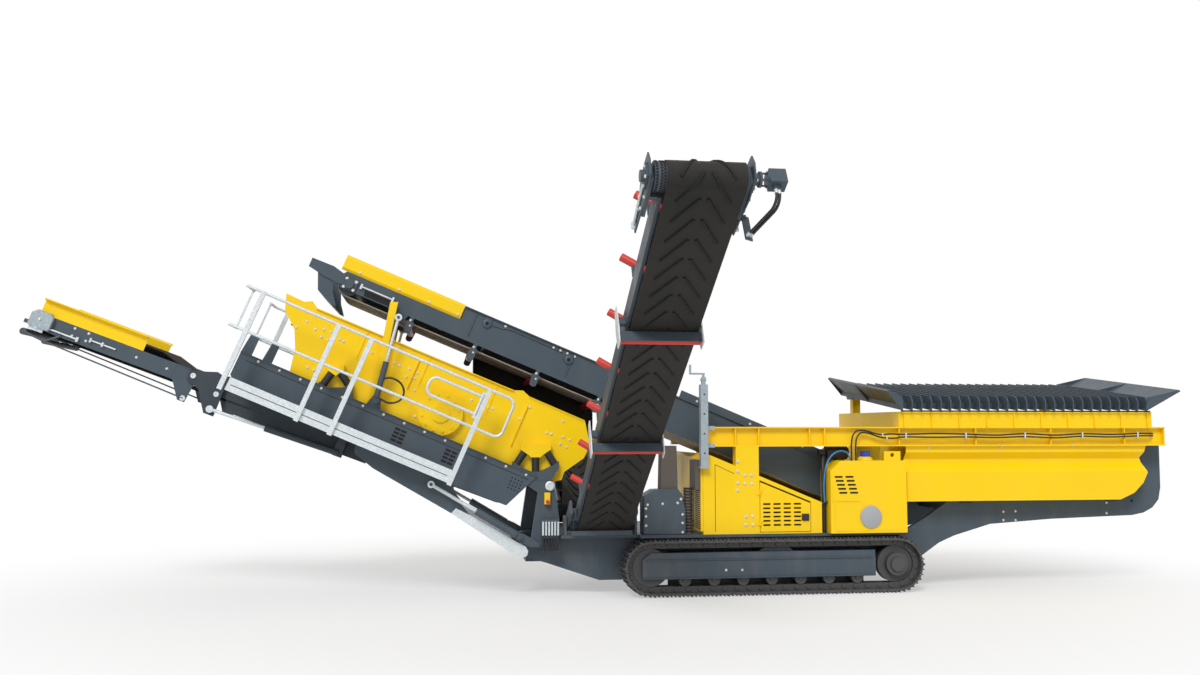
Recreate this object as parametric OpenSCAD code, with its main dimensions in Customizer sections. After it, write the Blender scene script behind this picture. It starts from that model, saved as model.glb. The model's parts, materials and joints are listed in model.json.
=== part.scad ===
// Tracked mobile vibrating screen. A feed hopper under a tipping grid drops onto a flat feeder,
// an inclined main conveyor lifts the feed over a two-deck screen box, and three stockpiling
// conveyors carry the sizes away: one in line under the screen and one to each side.
// Millimetres. +X towards the hopper, -Y towards the engine-door side, +Z up, ground at Z = 0.

/* [Undercarriage] */
// Width over both tracks
track_over = 2500; // [2480:5:2540]
// Width of one track shoe
shoe_width = 400; // [380:5:410]
// Distance from the idler axle to the sprocket axle
wheelbase = 3340; // [3320:5:3380]
// Height of a track over its shoes
track_height = 740; // [735:1:744]
// Shoes on each track
shoe_count = 52; // [48:1:54]
// Bottom rollers in each track
roller_count = 7; // [5:1:8]

/* [Chassis] */
// Width of the chassis over its two long members
chassis_width = 1520; // [1500:5:1540]
// Width of the deck over the tracks
deck_width = 2300; // [2290:5:2320]
// Thickness of the deck
deck_thickness = 40; // [36:1:44]
// Thickness of each rear arm
arm_thickness = 80; // [70:1:84]

/* [Power unit] */
// Length of the engine house
house_length = 1615; // [1600:5:1630]
// Thickness of the house walls
house_wall = 40; // [30:1:45]
// Height of the fuel tank
tank_height = 955; // [900:5:970]
// Length of the fuel tank
tank_length = 1060; // [1040:5:1075]
// Height of the exhaust stack
stack_height = 560; // [500:5:600]

/* [Hopper] */
// Underside of the hopper beams above the ground
beam_bottom = 1935; // [1930:1:1940]
// Depth of the hopper beams
beam_depth = 260; // [250:1:270]
// Length of the hopper inside
hopper_length = 3680; // [3640:5:3690]
// Slope of the tipping grid towards the loading side
grid_slope = 6.6; // [6.4:0.1:6.8]
// Bars in the tipping grid
bar_count = 27; // [24:1:30]
// Height of a grid bar
bar_height = 190; // [170:1:205]

/* [Main conveyor] */
// Slope of the main conveyor
main_slope = 22.5; // [22.4:0.05:22.6]
// Width of the main belt
main_belt_width = 1200; // [1100:5:1220]
// Radius of the main belt's drums over the belt
main_drum = 156; // [150:1:158]

/* [Screen] */
// Slope of the screen box
screen_slope = 23; // [22.9:0.05:23.1]
// Width between the screen's side plates
screen_width = 1580; // [1560:5:1590]
// Thickness of the screen's side plates
screen_plate = 25; // [18:1:28]
// Cross tubes in the screen box
tube_count = 6; // [4:1:8]
// Radius of a spring
spring_radius = 48; // [40:1:50]

/* [Walkway] */
// Width of a walkway
walkway_width = 300; // [280:5:320]
// Diameter of a handrail tube
rail_diameter = 38; // [30:1:42]
// Length of a handrail gate
gate_length = 690; // [640:5:700]

/* [Fines conveyor] */
// Slope of the fines conveyor
fines_slope = 20.7; // [20.6:0.05:20.8]
// Width of the fines belt
fines_belt_width = 1100; // [1000:5:1130]
// Length of the folding tail from its hinge to its drum
tail_length = 2015; // [1960:5:2040]

/* [Side conveyors] */
// Slope of the near side conveyor
near_slope = 30; // [29:0.25:31]
// Slope of the far side conveyor
far_slope = 23.4; // [23:0.1:24]
// Length of the near side conveyor between its drums
near_length = 6640; // [6500:10:6680]
// Length of the far side conveyor between its drums
far_length = 6460; // [6340:10:6480]
// Width of a side belt
side_belt_width = 690; // [640:5:700]
// Radius of a side belt's drums over the belt
side_drum = 140; // [130:1:144]

/* [Hidden] */
$fa = 6;
$fs = 4;
yellow = [0.95, 0.78, 0.08];
slate = [0.27, 0.31, 0.35];
zinc = [0.74, 0.76, 0.77];
black = [0.08, 0.08, 0.08];
red = [0.80, 0.22, 0.16];
rubber = [0.17, 0.16, 0.15];
steel = [0.55, 0.56, 0.58];
running_gap = 0.5;
seam = 0.4;
wrap_steps = 16;
pin_gap = 0.6;
belt_t = 12;
idler_x = 280;
sprocket_x = idler_x + wheelbase;
axle_z = track_height / 2;
grouser = 22;
shoe_plate = 28;
link_height = 75;
pin_radius = axle_z - grouser - shoe_plate - link_height / 2;
rail_radius = pin_radius - link_height / 2;
track_y = (track_over - shoe_width) / 2;
track_half = 140;
track_pitch = (2 * wheelbase + 2 * PI * pin_radius) / shoe_count;
frame_x0 = 164;
frame_x1 = sprocket_x - rail_radius - 55;
deck_z = track_height + 10;
deck_top = deck_z + deck_thickness;
chassis_half = chassis_width / 2;
deck_half = deck_width / 2;
arm_half = chassis_half + arm_thickness;
house_x0 = 985;
house_x1 = house_x0 + house_length;
pillar_x0 = 1427;
pillar_x1 = 1740;
door_x0 = pillar_x1 + 14;
door_x1 = 2440;
door_hinge_x = door_x0 - 7;
door_hinge_y = -deck_half - 14;
beam_top = beam_bottom + beam_depth;
beam_x0 = 1027;
beam_x1 = 7620;
hopper_x0 = 3720;
hopper_x1 = hopper_x0 + hopper_length;
hopper_top = 2400;
hopper_floor = 1575;
feeder_r = 150;
feeder_z = hopper_floor - 5 - feeder_r;
feeder_x0 = 3680;
feeder_x1 = 7150;
grid_hinge = [deck_half + 50, 2665];
grid_under = 35;
grid_reach = 2 * deck_half + 160;
main_at = [-4000, 4040];
main_half = screen_width / 2 - 70;
main_plate = 20;
main_axis_w = 153;
main_head_u = 325;
main_tail_u = 8300;
screen_at = [-4420, 3890];
screen_half = screen_width / 2 + screen_plate;
skirt_in = screen_half + 115;
skirt_out = skirt_in + 20;
spring_y = (screen_half + skirt_in) / 2 + 3.5;
walk_out = skirt_out + walkway_width + 5;
rail_y = walk_out + 20;
fines_at = [-5570, 2840];
fines_half = 660;
fines_drum = 90;
fines_axis_w = 5 - fines_drum + belt_t / 2;
side_x = -350;
side_foot = [900, 965];
side_half = 440;
side_rail = 335;
side_end = 170;
side_shift = 45;
side_tilt = 35;
guard_at = [2330, 4560];
hose_r = 13;
hose_gap = 16;
hose_start = -110;
hose_drop = 30;
hose_bend = 120;
hose_run = 470;
beam_in = deck_half - 140;
ram_y = skirt_out + 72;

// A block between two corners
module block(x0, x1, y0, y1, z0, z1) {
    translate([x0, y0, z0])
        cube([x1 - x0, y1 - y0, z1 - z0]);
}

// A plate drawn in X and Z, between two values of Y
module plate_xz(y0, y1, points) {
    translate([0, y1, 0])
        rotate([90, 0, 0])
            linear_extrude(y1 - y0)
                polygon(points);
}

// A profile drawn in Y and Z, carried along X
module profile_yz(x0, x1, points) {
    translate([x0, 0, 0])
        rotate([90, 0, 90])
            linear_extrude(x1 - x0)
                polygon(points);
}

// A round bar along Y
module bar_y(x, z, y0, y1, r) {
    translate([x, y0, z])
        rotate([-90, 0, 0])
            cylinder(r = r, h = y1 - y0);
}

// A round bar along X
module bar_x(y, z, x0, x1, r) {
    translate([x0, y, z])
        rotate([0, 90, 0])
            cylinder(r = r, h = x1 - x0);
}

// A thing on the near side and its mirror image on the far side
module both_sides() {
    children();
    mirror([0, 1, 0])
        children();
}

// The sloping frames of the main conveyor, the screen and the fines conveyor
module on_main() {
    translate([main_at[0], 0, main_at[1]])
        rotate([0, main_slope, 0])
            children();
}

module on_screen() {
    translate([screen_at[0], 0, screen_at[1]])
        rotate([0, screen_slope, 0])
            children();
}

module on_fines() {
    translate([fines_at[0], 0, fines_at[1]])
        rotate([0, fines_slope, 0])
            children();
}

// A side conveyor's frame: local X runs up the belt, local Y across it
module on_side(slope) {
    translate([side_x, -side_foot[0], side_foot[1]])
        rotate([0, 0, -90])
            rotate([0, -slope, 0])
                children();
}

// A point of the screen's frame in X and Z
function screen_pt(u, w) = [screen_at[0] + u * cos(screen_slope) + w * sin(screen_slope),
    screen_at[1] - u * sin(screen_slope) + w * cos(screen_slope)];

// A point of the main conveyor's frame in X and Z
function main_pt(u, w) = [main_at[0] + u * cos(main_slope) + w * sin(main_slope),
    main_at[1] - u * sin(main_slope) + w * cos(main_slope)];

// A round bar between two points in X and Z
module bar_between(a, b, y, r) {
    d = b - a;
    translate([a[0], y, a[1]])
        rotate([0, atan2(d[0], d[1]), 0])
            cylinder(r = r, h = norm(d));
}

// An eye that turns on a pin of the given radius
module eye(a, y, pin) {
    difference() {
        bar_y(a[0], a[1], y - 25, y + 25, pin + 26);
        bar_y(a[0], a[1], y - 30, y + 30, pin + pin_gap / 2);
    }
}

// The barrel of a ram from its eye to its gland, and the rod from the gland to its own eye
module ram_barrel(a, b, share, y, r) {
    d = (b - a) / norm(b - a);
    union() {
        eye(a, y, 20);
        bar_between(a + d * 38, a + (b - a) * share, y, r);
    }
}

module ram_rod(a, b, share, y, r) {
    d = (b - a) / norm(b - a);
    union() {
        eye(b, y, 20);
        bar_between(a + (b - a) * share + d * seam, b - d * 38, y, r);
    }
}

// A belt cross-section at a station [x, z, normal angle, trough share]
function belt_section(st, width, t, tilt) =
    let (
        flat = width * 0.38,
        wing = (width - flat) / 2,
        a = tilt * st[3],
        n = [cos(st[2]), sin(st[2])],
        y1 = flat / 2,
        y2 = flat / 2 + wing * cos(a),
        lift = wing * sin(a),
        at = function(y, h) [st[0] + n[0] * h, y, st[1] + n[1] * h]
    )
    [at(-y2, lift + t / 2), at(-y1, t / 2), at(y1, t / 2), at(y2, lift + t / 2),
     at(y2, lift - t / 2), at(y1, -t / 2), at(-y1, -t / 2), at(-y2, lift - t / 2)];

// A strip swept through its stations, closed into a loop or capped at both ends
module belt_strip(stations, width, t, tilt, closed) {
    count = len(stations);
    points = [for (st = stations) each belt_section(st, width, t, tilt)];
    last = closed ? count : count - 1;
    walls = [for (i = [0 : last - 1], j = [0 : 7])
        let (a = i * 8 + j,
             b = i * 8 + (j + 1) % 8,
             c = ((i + 1) % count) * 8 + (j + 1) % 8,
             d = ((i + 1) % count) * 8 + j)
        each [[a, d, c], [a, c, b]]];
    caps = closed ? [] : concat(
        [for (q = [[0, 1, 6, 7], [1, 2, 5, 6], [2, 3, 4, 5]]) each [[q[0], q[1], q[2]], [q[0], q[2], q[3]]]],
        [for (q = [[0, 1, 6, 7], [1, 2, 5, 6], [2, 3, 4, 5]])
            let (k = (count - 1) * 8)
            each [[k + q[0], k + q[2], k + q[1]], [k + q[0], k + q[3], k + q[2]]]]);
    polyhedron(points, concat(walls, caps), convexity = 6);
}

// Stations round a drum from one angle to another
function wrap(x, z, r, a0, a1, steps) =
    [for (i = [0 : steps]) let (a = a0 + (a1 - a0) * i / steps) [x + r * cos(a), z + r * sin(a), a, 0]];

// The largest drum that fits inside a belt's wrap
function drum_radius(r) = (r - belt_t) * cos(90 / wrap_steps) - running_gap;

// A whole troughed belt round two drums
module belt_loop(x0, x1, z, r, width, tilt, ease0, ease1) {
    rc = r - belt_t / 2;
    belt_strip(concat(
        wrap(x0, z, rc, 90, 270, wrap_steps),
        wrap(x1, z, rc, 270, 450, wrap_steps),
        [[x1 - ease1, z + rc, 90, 1], [x0 + ease0, z + rc, 90, 1]]
    ), width, belt_t, tilt, true);
}

// Crawler undercarriage

// A point on a track's loop, measured along the pin line and out from it
function track_point(s, h) =
    let (run = wheelbase, arc = PI * pin_radius, r = pin_radius + h)
    s < run ? [idler_x + s, axle_z + r]
    : s < run + arc ? let (a = 90 - (s - run) / pin_radius * 180 / PI)
        [sprocket_x + r * cos(a), axle_z + r * sin(a)]
    : s < 2 * run + arc ? [sprocket_x - (s - run - arc), axle_z - r]
    : let (a = 270 - (s - 2 * run - arc) / pin_radius * 180 / PI)
        [idler_x + r * cos(a), axle_z + r * sin(a)];

function track_ring(h, steps) =
    [for (i = [0 : steps - 1]) track_point((i + 0.25) * track_pitch * shoe_count / steps, h)];

// A closed ring between two outlines on the track's loop
module ring_xz(y0, y1, outer, inner) {
    n = len(outer);
    m = len(inner);
    translate([0, y1, 0])
        rotate([90, 0, 0])
            linear_extrude(y1 - y0)
                polygon(concat(outer, inner), [[for (i = [0 : n - 1]) i], [for (i = [0 : m - 1]) n + i]]);
}

module track_chains() {
    base = link_height / 2;
    top = base + shoe_plate;
    lug = top + grouser;
    shoe = [[0.03, top], [0.20, top], [0.24, lug], [0.33, lug], [0.37, top], [0.97, top],
        [0.975, base + 8], [1.025, base + 8]];
    outer = [for (i = [0 : shoe_count - 1], p = shoe) track_point((i + p[0]) % shoe_count * track_pitch,
        p[1])];
    color(slate)
        both_sides() {
            union() {
                ring_xz(-track_y - shoe_width / 2, -track_y + shoe_width / 2, outer,
                    track_ring(base, shoe_count * 2));
                for (y = [-92, 48])
                    ring_xz(-track_y + y, -track_y + y + 44, track_ring(base + 4, shoe_count * 2),
                        track_ring(-base, shoe_count * 2));
            }
        }
}

module track_frames() {
    side = [[frame_x0, 223], [frame_x0, 470], [frame_x0 + 110, 561], [frame_x1 - 90, 561],
        [frame_x1, 470], [frame_x1, 223]];
    color(slate)
        both_sides()
            union() {
                for (y = [-track_y - track_half, -track_y + track_half - 20])
                    plate_xz(y, y + 20, side);
                block(idler_x + rail_radius + 40, frame_x1, -track_y - track_half + 10,
                    -track_y + track_half - 10, 330, 561);
                plate_xz(-track_y - 60, -track_y + 60, [[1740, 560], [1810, 605], [2150, 605], [2220, 560]]);
            }
}

module track_wheels() {
    wheel = rail_radius * cos(track_pitch / 4 / pin_radius * 180 / PI) - running_gap;
    roller = 79.5;
    roller_z = axle_z - rail_radius + roller + running_gap;
    x0 = 733;
    x1 = frame_x1 - 245;
    color(slate)
        both_sides() {
            union() {
                bar_y(sprocket_x, axle_z, -track_y - 60, -track_y + 60, wheel);
                bar_y(sprocket_x, axle_z, -track_y - 150, -chassis_half, 150);
                bar_y(sprocket_x, axle_z, -track_y - 185, -track_y - 150, 95);
            }
            union() {
                bar_y(idler_x, axle_z, -track_y - 100, -track_y + 100, wheel);
                bar_y(idler_x, axle_z, -track_y - track_half + 20, -track_y + track_half - 20, 50);
            }
            for (i = [0 : roller_count - 1])
                union() {
                    bar_y(x0 + i * (x1 - x0) / (roller_count - 1), roller_z, -track_y - 105,
                        -track_y + 105, roller);
                    bar_y(x0 + i * (x1 - x0) / (roller_count - 1), roller_z, -track_y - track_half + 20,
                        -track_y + track_half - 20, 26);
                }
        }
}

// Chassis and rear frame

strut_foot = [-1351, 575];
ram_foot = [-1422, 788];
ram_head = [-2551, 1461];
tower_z = 690;

module chassis() {
    beam = [[-1400, 640], [-1290, 700], [-880, deck_z], [4000, deck_z], [4000, 420], [3860, 260], [200, 260],
        [0, 178], [-340, 178], [-1045, 416], [-1400, 520]];
    color(slate)
        union() {
            both_sides()
                plate_xz(-chassis_half, -chassis_half + 200, beam);
            for (x = [-1300, 1400, 2500, 3700])
                block(x, x + 200, -chassis_half + 150, chassis_half - 150, 420, 640);
            block(-880, 150, -1000, 1000, deck_z, deck_top);
            block(150, 3760, -deck_half, deck_half, deck_z, deck_top);
            for (x = [700, 2700])
                block(x, x + 300, -track_y + track_half, track_y - track_half, 330, 540);
            both_sides() {
                bar_y(strut_foot[0], strut_foot[1], -skirt_in, -chassis_half + 10, 42);
                block(-1250, -890, -skirt_in, -chassis_half + 10, tower_z - 50, tower_z);
                block(-1250, -1140, -skirt_out - 18, -chassis_half + 10, tower_z - 50, tower_z);
                plate_xz(-skirt_out - 18, -skirt_out - 1, [[-1250, tower_z - 50], [-1440, 715], [-1470, 790],
                    [-1430, 840], [-1350, 810], [-1140, tower_z], [-1140, tower_z - 50]]);
                bar_y(ram_foot[0], ram_foot[1], -ram_y - 32, -skirt_out - 10, 20);
            }
        }
}

module rear_frame() {
    arm = [[3800, 420], [4000, 420], [4121, 435], [4380, 610], [4607, 704], [5132, 853], [6040, 913],
        [7274, 952], [7450, 985], [7590, 1055], [7690, 1170], [7725, 1340], [7727, beam_bottom], [7440,
            beam_bottom],
        [7430, 1720], [7362, 1563], [7290, 1420], [7149, 1282], [7040, 1225], [6915, 1190], [4545, 1190],
        [4200, 960], [3835, deck_z], [3800, deck_z]];
    color(slate) {
        both_sides()
            plate_xz(-arm_half, -chassis_half, arm);
        for (x = [4800, 6300])
            block(x, x + 240, -chassis_half + seam, chassis_half - seam, 1000, feeder_z - feeder_r - 10);
        block(7480, beam_x1, -chassis_half + seam, chassis_half - seam, 1300, 1600);
    }
}

// Power unit

house_outline = [[house_x0, deck_top], [house_x1, deck_top], [house_x1, 1195], [house_x0 + 55, 1840],
    [house_x0, 1790]];
house_inside = [[house_x0 + house_wall, deck_top - 1], [house_x1 - house_wall, deck_top - 1],
    [house_x1 - house_wall, 1195 - 20], [house_x0 + 75, 1840 - 55], [house_x0 + house_wall, 1790 - 20]];
door_outline = [[door_x0, deck_top + 25], [door_x1, deck_top + 25], [door_x1, 1186], [door_x0, 1466]];

module engine_house() {
    color(yellow)
        difference() {
            plate_xz(-deck_half, deck_half, house_outline);
            plate_xz(-deck_half + house_wall, deck_half - house_wall, house_inside);
            plate_xz(-deck_half - 10, -deck_half + house_wall + 10, [[door_x0 - 8, deck_top + 17],
                [door_x1 + 8, deck_top + 17], [door_x1 + 8, 1205], [door_x0 - 8, 1492]]);
            both_sides()
                block(pillar_x0, pillar_x1, -deck_half - 10, -deck_half + 150, deck_top - 10, 2000);
        }
}

module engine_door() {
    slot_w = 100;
    color(yellow)
        union() {
            difference() {
                plate_xz(-deck_half, -deck_half + house_wall, door_outline);
                for (i = [0 : 3], j = [0 : 5])
                    translate([door_x0 + 40 + i * 140, -deck_half - 10, 890 + j * 55])
                        cube([slot_w, house_wall + 20, 24]);
            }
            block(2350, 2390, -deck_half - 18, -deck_half, 960, 1040);
            for (z = [900, 1300])
                door_hinge(z + 40 + running_gap, 1);
        }
}

// Half of a door hinge: a knuckle on the hinge line and a tab towards the door or the pillar
module door_hinge(z, way) {
    translate([door_hinge_x, door_hinge_y, z])
        cylinder(r = 12, h = 40);
    translate([door_hinge_x + (way > 0 ? 0 : -45), door_hinge_y + 4, z])
        cube([45, 10, 40]);
}

module radiator_grille() {
    color([0.62, 0.5, 0.36])
        block(house_x0 - 30, house_x0, -deck_half + 20, -deck_half + 710, 830, 1770);
}

tank_x0 = 2690;
tank_x1 = tank_x0 + tank_length;
tank_top = deck_top + tank_height;
tank_y = -deck_half - 100;

module tanks() {
    outline = [[tank_x0, deck_top], [tank_x1, deck_top], [tank_x1, tank_top], [tank_x0 + 145, tank_top],
        [tank_x0, tank_top - 130]];
    color(yellow)
        both_sides()
            union() {
                plate_xz(tank_y, tank_y + 390, outline);
                block(tank_x0 + 20, tank_x0 + 400, tank_y - 8, tank_y + 5, deck_top + 420, deck_top + 760);
                block(tank_x0 + 60, tank_x1 - 60, tank_y - 8, tank_y + 5, deck_top + 30, deck_top + 395);
            }
}

module tank_fittings() {
    color(zinc)
        both_sides() {
            bar_y(tank_x0 + 548, deck_top + 212, tank_y - 26, tank_y - 8, 145);
            translate([tank_x0 + 563, tank_y + 200, tank_top])
                cylinder(r = 62, h = 105);
            difference() {
                block(tank_x0 + 760, tank_x1 - 70, tank_y + 20, tank_y + 40, tank_top, tank_top + 125);
                bar_y(tank_x0 + 875, tank_top + 75, tank_y, tank_y + 60, 28);
            }
        }
}

module air_filter() {
    color(black)
        both_sides()
            union() {
                bar_x(tank_y + 300, tank_top + 104, tank_x0 + 40, tank_x0 + 330, 95);
                bar_x(tank_y + 300, tank_top + 104, tank_x0 + 320, tank_x0 + 350, 70);
                bar_x(tank_y + 300, tank_top + 104, tank_x0 - 60, tank_x0 + 50, 48);
                block(tank_x0 + 170, tank_x0 + 290, tank_y + 250, tank_y + 350, tank_top, tank_top + 40);
            }
}

exhaust_y = -deck_half + 50;

module exhaust() {
    color(slate)
        plate_xz(exhaust_y, exhaust_y + 300, [[200, deck_top], [760, deck_top], [760, 1300], [690, 1385],
            [270, 1385],
            [200, 1300]]);
}

module exhaust_stack() {
    color([0.36, 0.33, 0.31]) {
        union() {
            block(455, 625, exhaust_y + 80, exhaust_y + 250, 1385, 1385 + stack_height);
            block(440, 640, exhaust_y + 65, exhaust_y + 265, 1385, 1405);
        }
        union() {
            translate([860, exhaust_y + 150, deck_top])
                cylinder(r = 82, h = 600);
            for (z = [100, 300, 500])
                translate([860, exhaust_y + 150, deck_top + z])
                    cylinder(r = 90, h = 40);
        }
    }
}

jack_at = [983, -deck_half - 54];

module support_jack() {
    color(zinc)
        union() {
            block(jack_at[0] - 50, jack_at[0] + 50, jack_at[1] - 50, jack_at[1] + 50, 1674, 2750);
            block(jack_at[0] - 62, jack_at[0] + 62, jack_at[1] - 54, jack_at[1] + 46, 1655, 1680);
            block(jack_at[0] - 26, jack_at[0] + 26, jack_at[1] - 26, jack_at[1] + 26, 2740, 2850);
            block(jack_at[0] - 34, jack_at[0] + 34, jack_at[1] - 34, jack_at[1] + 34, 2800, 2825);
            for (z = [beam_bottom - 12, beam_top - 38])
                block(jack_at[0] - 40, jack_at[0] + 160, jack_at[1] + 40, -deck_half, z, z + 50);
        }
}

module jack_crank() {
    color(zinc)
        union() {
            translate([jack_at[0], jack_at[1], 2850 + running_gap])
                cylinder(r = 16, h = 40);
            block(jack_at[0] - 190, jack_at[0] + 16, jack_at[1] - 12, jack_at[1] + 12, 2880, 2904);
            translate([jack_at[0] - 178, jack_at[1], 2890])
                cylinder(r = 15, h = 120);
        }
}

// Hopper, feeder and tipping grid

module hopper_beams() {
    web = [[-deck_half, beam_bottom], [-deck_half, beam_bottom + 18], [-deck_half + 70, beam_bottom + 18],
        [-deck_half + 70, beam_top - 18], [-deck_half, beam_top - 18], [-deck_half, beam_top], [-beam_in,
            beam_top],
        [-beam_in, beam_top - 18], [-deck_half + 84, beam_top - 18], [-deck_half + 84, beam_bottom + 18],
        [-beam_in, beam_bottom + 18], [-beam_in, beam_bottom]];
    ribs = [1035, 1420, 1740, 2440, 2650, 3700, 4800, 5900, 7000, 7600];
    color(yellow) {
        both_sides()
            union() {
                profile_yz(beam_x0, beam_x1, web);
                for (x = ribs)
                    block(x, x + 14, -deck_half + 6, -deck_half + 75, beam_bottom + 10, beam_top - 10);
            }
        both_sides()
            block(pillar_x0, pillar_x1, -deck_half, -deck_half + 150, deck_top, beam_bottom - seam);
        for (z = [900, 1300])
            door_hinge(z, -1);
        block(7480, beam_x1, -beam_in + seam, beam_in - seam, beam_bottom, beam_top);
    }
}

module hopper_body() {
    wall = [[-deck_half, beam_top], [-deck_half, hopper_top], [-deck_half + 20, hopper_top],
        [-deck_half + 20, beam_top + 22], [-beam_in + 20, beam_top + 22], [-560, hopper_floor + 4],
        [-584, hopper_floor], [-beam_in + 8, beam_top]];
    end = [[-deck_half, beam_top], [-deck_half, hopper_top], [deck_half, hopper_top], [deck_half, beam_top],
        [beam_in - 8, beam_top], [584, hopper_floor], [-584, hopper_floor], [-beam_in + 8, beam_top]];
    color(yellow) {
        both_sides()
            union() {
                profile_yz(hopper_x0 + seam, hopper_x1 - seam, wall);
                for (i = [0 : 9])
                    block(hopper_x0 + 40 + i * (hopper_length - 100) / 9,
                        hopper_x0 + 52 + i * (hopper_length - 100) / 9,
                        -deck_half - 22, -deck_half + 5, beam_top + seam, hopper_top - 12);
                block(hopper_x0 + seam, hopper_x1 - seam, -deck_half - 26, -deck_half + 5, hopper_top - 14,
                    hopper_top);
            }
        difference() {
            profile_yz(hopper_x0 - 20, hopper_x0, end);
            block(hopper_x0 - 40, hopper_x0 + 20, -480, 480, hopper_floor - 10, 1950);
        }
        profile_yz(hopper_x1, hopper_x1 + 20, end);
        for (x = [hopper_x0 + 200, hopper_x1 - 320])
            difference() {
                block(x, x + 120, deck_half - 20, deck_half + 95, hopper_top + seam, grid_hinge[1] + 50);
                bar_x(grid_hinge[0], grid_hinge[1], x - 10, x + 130, 30 + pin_gap);
            }
    }
}

module hopper_panels() {
    out = deck_half - 50;
    face = [[-out, beam_bottom], [-out, 1850], [-out + 90, 1760], [-out + 90, 1700], [-out - 10, 1580],
        [-out - 10, 1190],
        [-chassis_half - 10, 1190], [-chassis_half - 10, 1202], [-out + 2, 1202], [-out + 2, 1584],
            [-out + 102, 1704],
        [-out + 102, 1756], [-out + 12, 1846], [-out + 12, beam_bottom]];
    outline = [[3815, 1180], [6915, 1180], [7149, 1282], [7290, 1420], [7362, 1563], [7300, 1776], [7350,
        beam_bottom],
        [3815, beam_bottom]];
    color(yellow)
        both_sides()
            difference() {
                intersection() {
                    profile_yz(3700, 7500, face);
                    plate_xz(-deck_half - 50, -700, outline);
                }
                block(6900, 7500, -arm_half - 6, -600, 1100, 1300);
            }
}

module feeder_frame() {
    color(slate) {
        both_sides()
            block(3760, 7300, -650, -620, feeder_z - feeder_r - 10, feeder_z + 110);
        for (x = [feeder_x0, feeder_x1])
            union() {
                bar_y(x, feeder_z, -615, 615, drum_radius(feeder_r));
                bar_y(x, feeder_z, -620 + seam, 620 - seam, 40);
            }
        both_sides()
            block(feeder_x0 - 60, 3760, -650, -620, feeder_z - 60, feeder_z + 60);
    }
}

module feeder_belt() {
    color(rubber)
        belt_loop(feeder_x0, feeder_x1, feeder_z, feeder_r, 1160, 0, 200, 200);
}

// The grid's own frame: hinge at its far edge, local -Y down the slope
module on_grid() {
    translate([0, grid_hinge[0], grid_hinge[1]])
        rotate([grid_slope, 0, 0])
            children();
}

module tipping_grid() {
    x0 = 3707;
    x1 = 7297;
    pitch = (x1 - x0 - 16) / (bar_count - 1);
    color(slate)
        on_grid()
            union() {
                for (i = [0 : bar_count - 1])
                    plate_bar(x0 + i * pitch);
                for (y = [-2300, -1240, -240])
                    block(x0, x1, y, y + 60, grid_under + 10, grid_under + 80);
                for (x = [hopper_x0 + 200, hopper_x1 - 320]) {
                    bar_x(0, 0, x - 60, x + 180, 30);
                    for (lug = [x - 60, x + 150])
                        profile_yz(lug, lug + 30, [[-300, grid_under], [-200, -20], [0, -45], [40, -20],
                            [40, 25],
                            [0, 45], [-150, grid_under + 90], [-300, grid_under + 90]]);
                }
            }
}

module plate_bar(x) {
    translate([x, 0, 0])
        rotate([90, 0, 90])
            linear_extrude(16)
                polygon([[-grid_reach, grid_under], [-120, grid_under], [-120, grid_under + bar_height],
                    [-grid_reach + 60, grid_under + bar_height], [-grid_reach,
                        grid_under + bar_height - 70]]);
}

module grid_wings() {
    color(slate)
        on_grid() {
            union() {
                plate_xz(-grid_reach, -120, [[3707, 100], [3707, 140], [3520, 310], [3490, 292]]);
                for (y = [-grid_reach, -1240, -140])
                    plate_xz(y, y + 20, [[3707, 40], [3707, 225], [3520, 310], [3490, 292]]);
            }
            union() {
                plate_xz(-grid_reach, -120, [[7297, 100], [7297, 140], [7770, 330], [7790, 310]]);
                for (y = [-grid_reach, -1240, -140])
                    plate_xz(y, y + 20, [[7297, 40], [7297, 225], [7770, 330], [7790, 310]]);
            }
        }
}

// Main conveyor

return_at = [1250, 2150, 3050, 3950];
strut_lug = [1102, -20];

module main_frame() {
    side = [[190, 90], [190, 240], [240, 300], [1827, 300], [1827, 490], [4950, 490], [4950, 590], [8360,
        590],
        [8360, 0], [4850, 0], [4850, 71], [1190, 71], [1150, -55], [1050, -55], [1010, 71], [240, 71]];
    color(slate) {
        on_main() {
            both_sides()
                union() {
                    plate_xz(-main_half, -main_half + main_plate, side);
                    bar_y(strut_lug[0], strut_lug[1], -ram_y - 32, -main_half + 5, 20);
                    for (u = return_at)
                        block(u - 25, u + 25, -main_half, -main_half + main_plate, -80, 80);
                    for (u = [2000, 3400, 4800])
                        block(u, u + 14, -main_half - 14, -main_half + 5, 140, 480);
                    block(1827, 8340, -main_half - 30, -main_half + 5, 476, 490);
                    block(250, 430, -main_half - 24, -main_half + 5, main_axis_w - 80, main_axis_w + 80);
                    bar_y(main_head_u, main_axis_w, -main_half - 60, -main_half, 62);
                    plate_xz(-main_half - 22, -main_half, [[-240, 165], [-240, 285], [60, 292], [250, 244],
                        [250, 110], [0, 120]]);
                }
            for (u = [900, 2300, 3700, 5100, 6500, 7900])
                bar_y(u, main_axis_w - 20, -main_half + main_plate + seam, main_half - main_plate - seam, 45);
            for (u = [main_head_u, main_tail_u])
                union() {
                    bar_y(u, main_axis_w, -main_half + 80, main_half - 80, drum_radius(main_drum));
                    bar_y(u, main_axis_w, -main_half + main_plate + seam, main_half - main_plate - seam, 45);
                }
            union() {
                plate_xz(-main_half + seam, main_half - seam, [[-130, 200], [-13, -74], [216, -177], [222,
                    -166],
                    [-4, -65], [-118, 205]]);
                both_sides()
                    plate_xz(-main_half + seam, -main_half + 12, [[-130, 200], [-13, -74], [216, -177],
                        [287, -181], [175, -28], [60, 235]]);
            }
        }
    }
}

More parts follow.
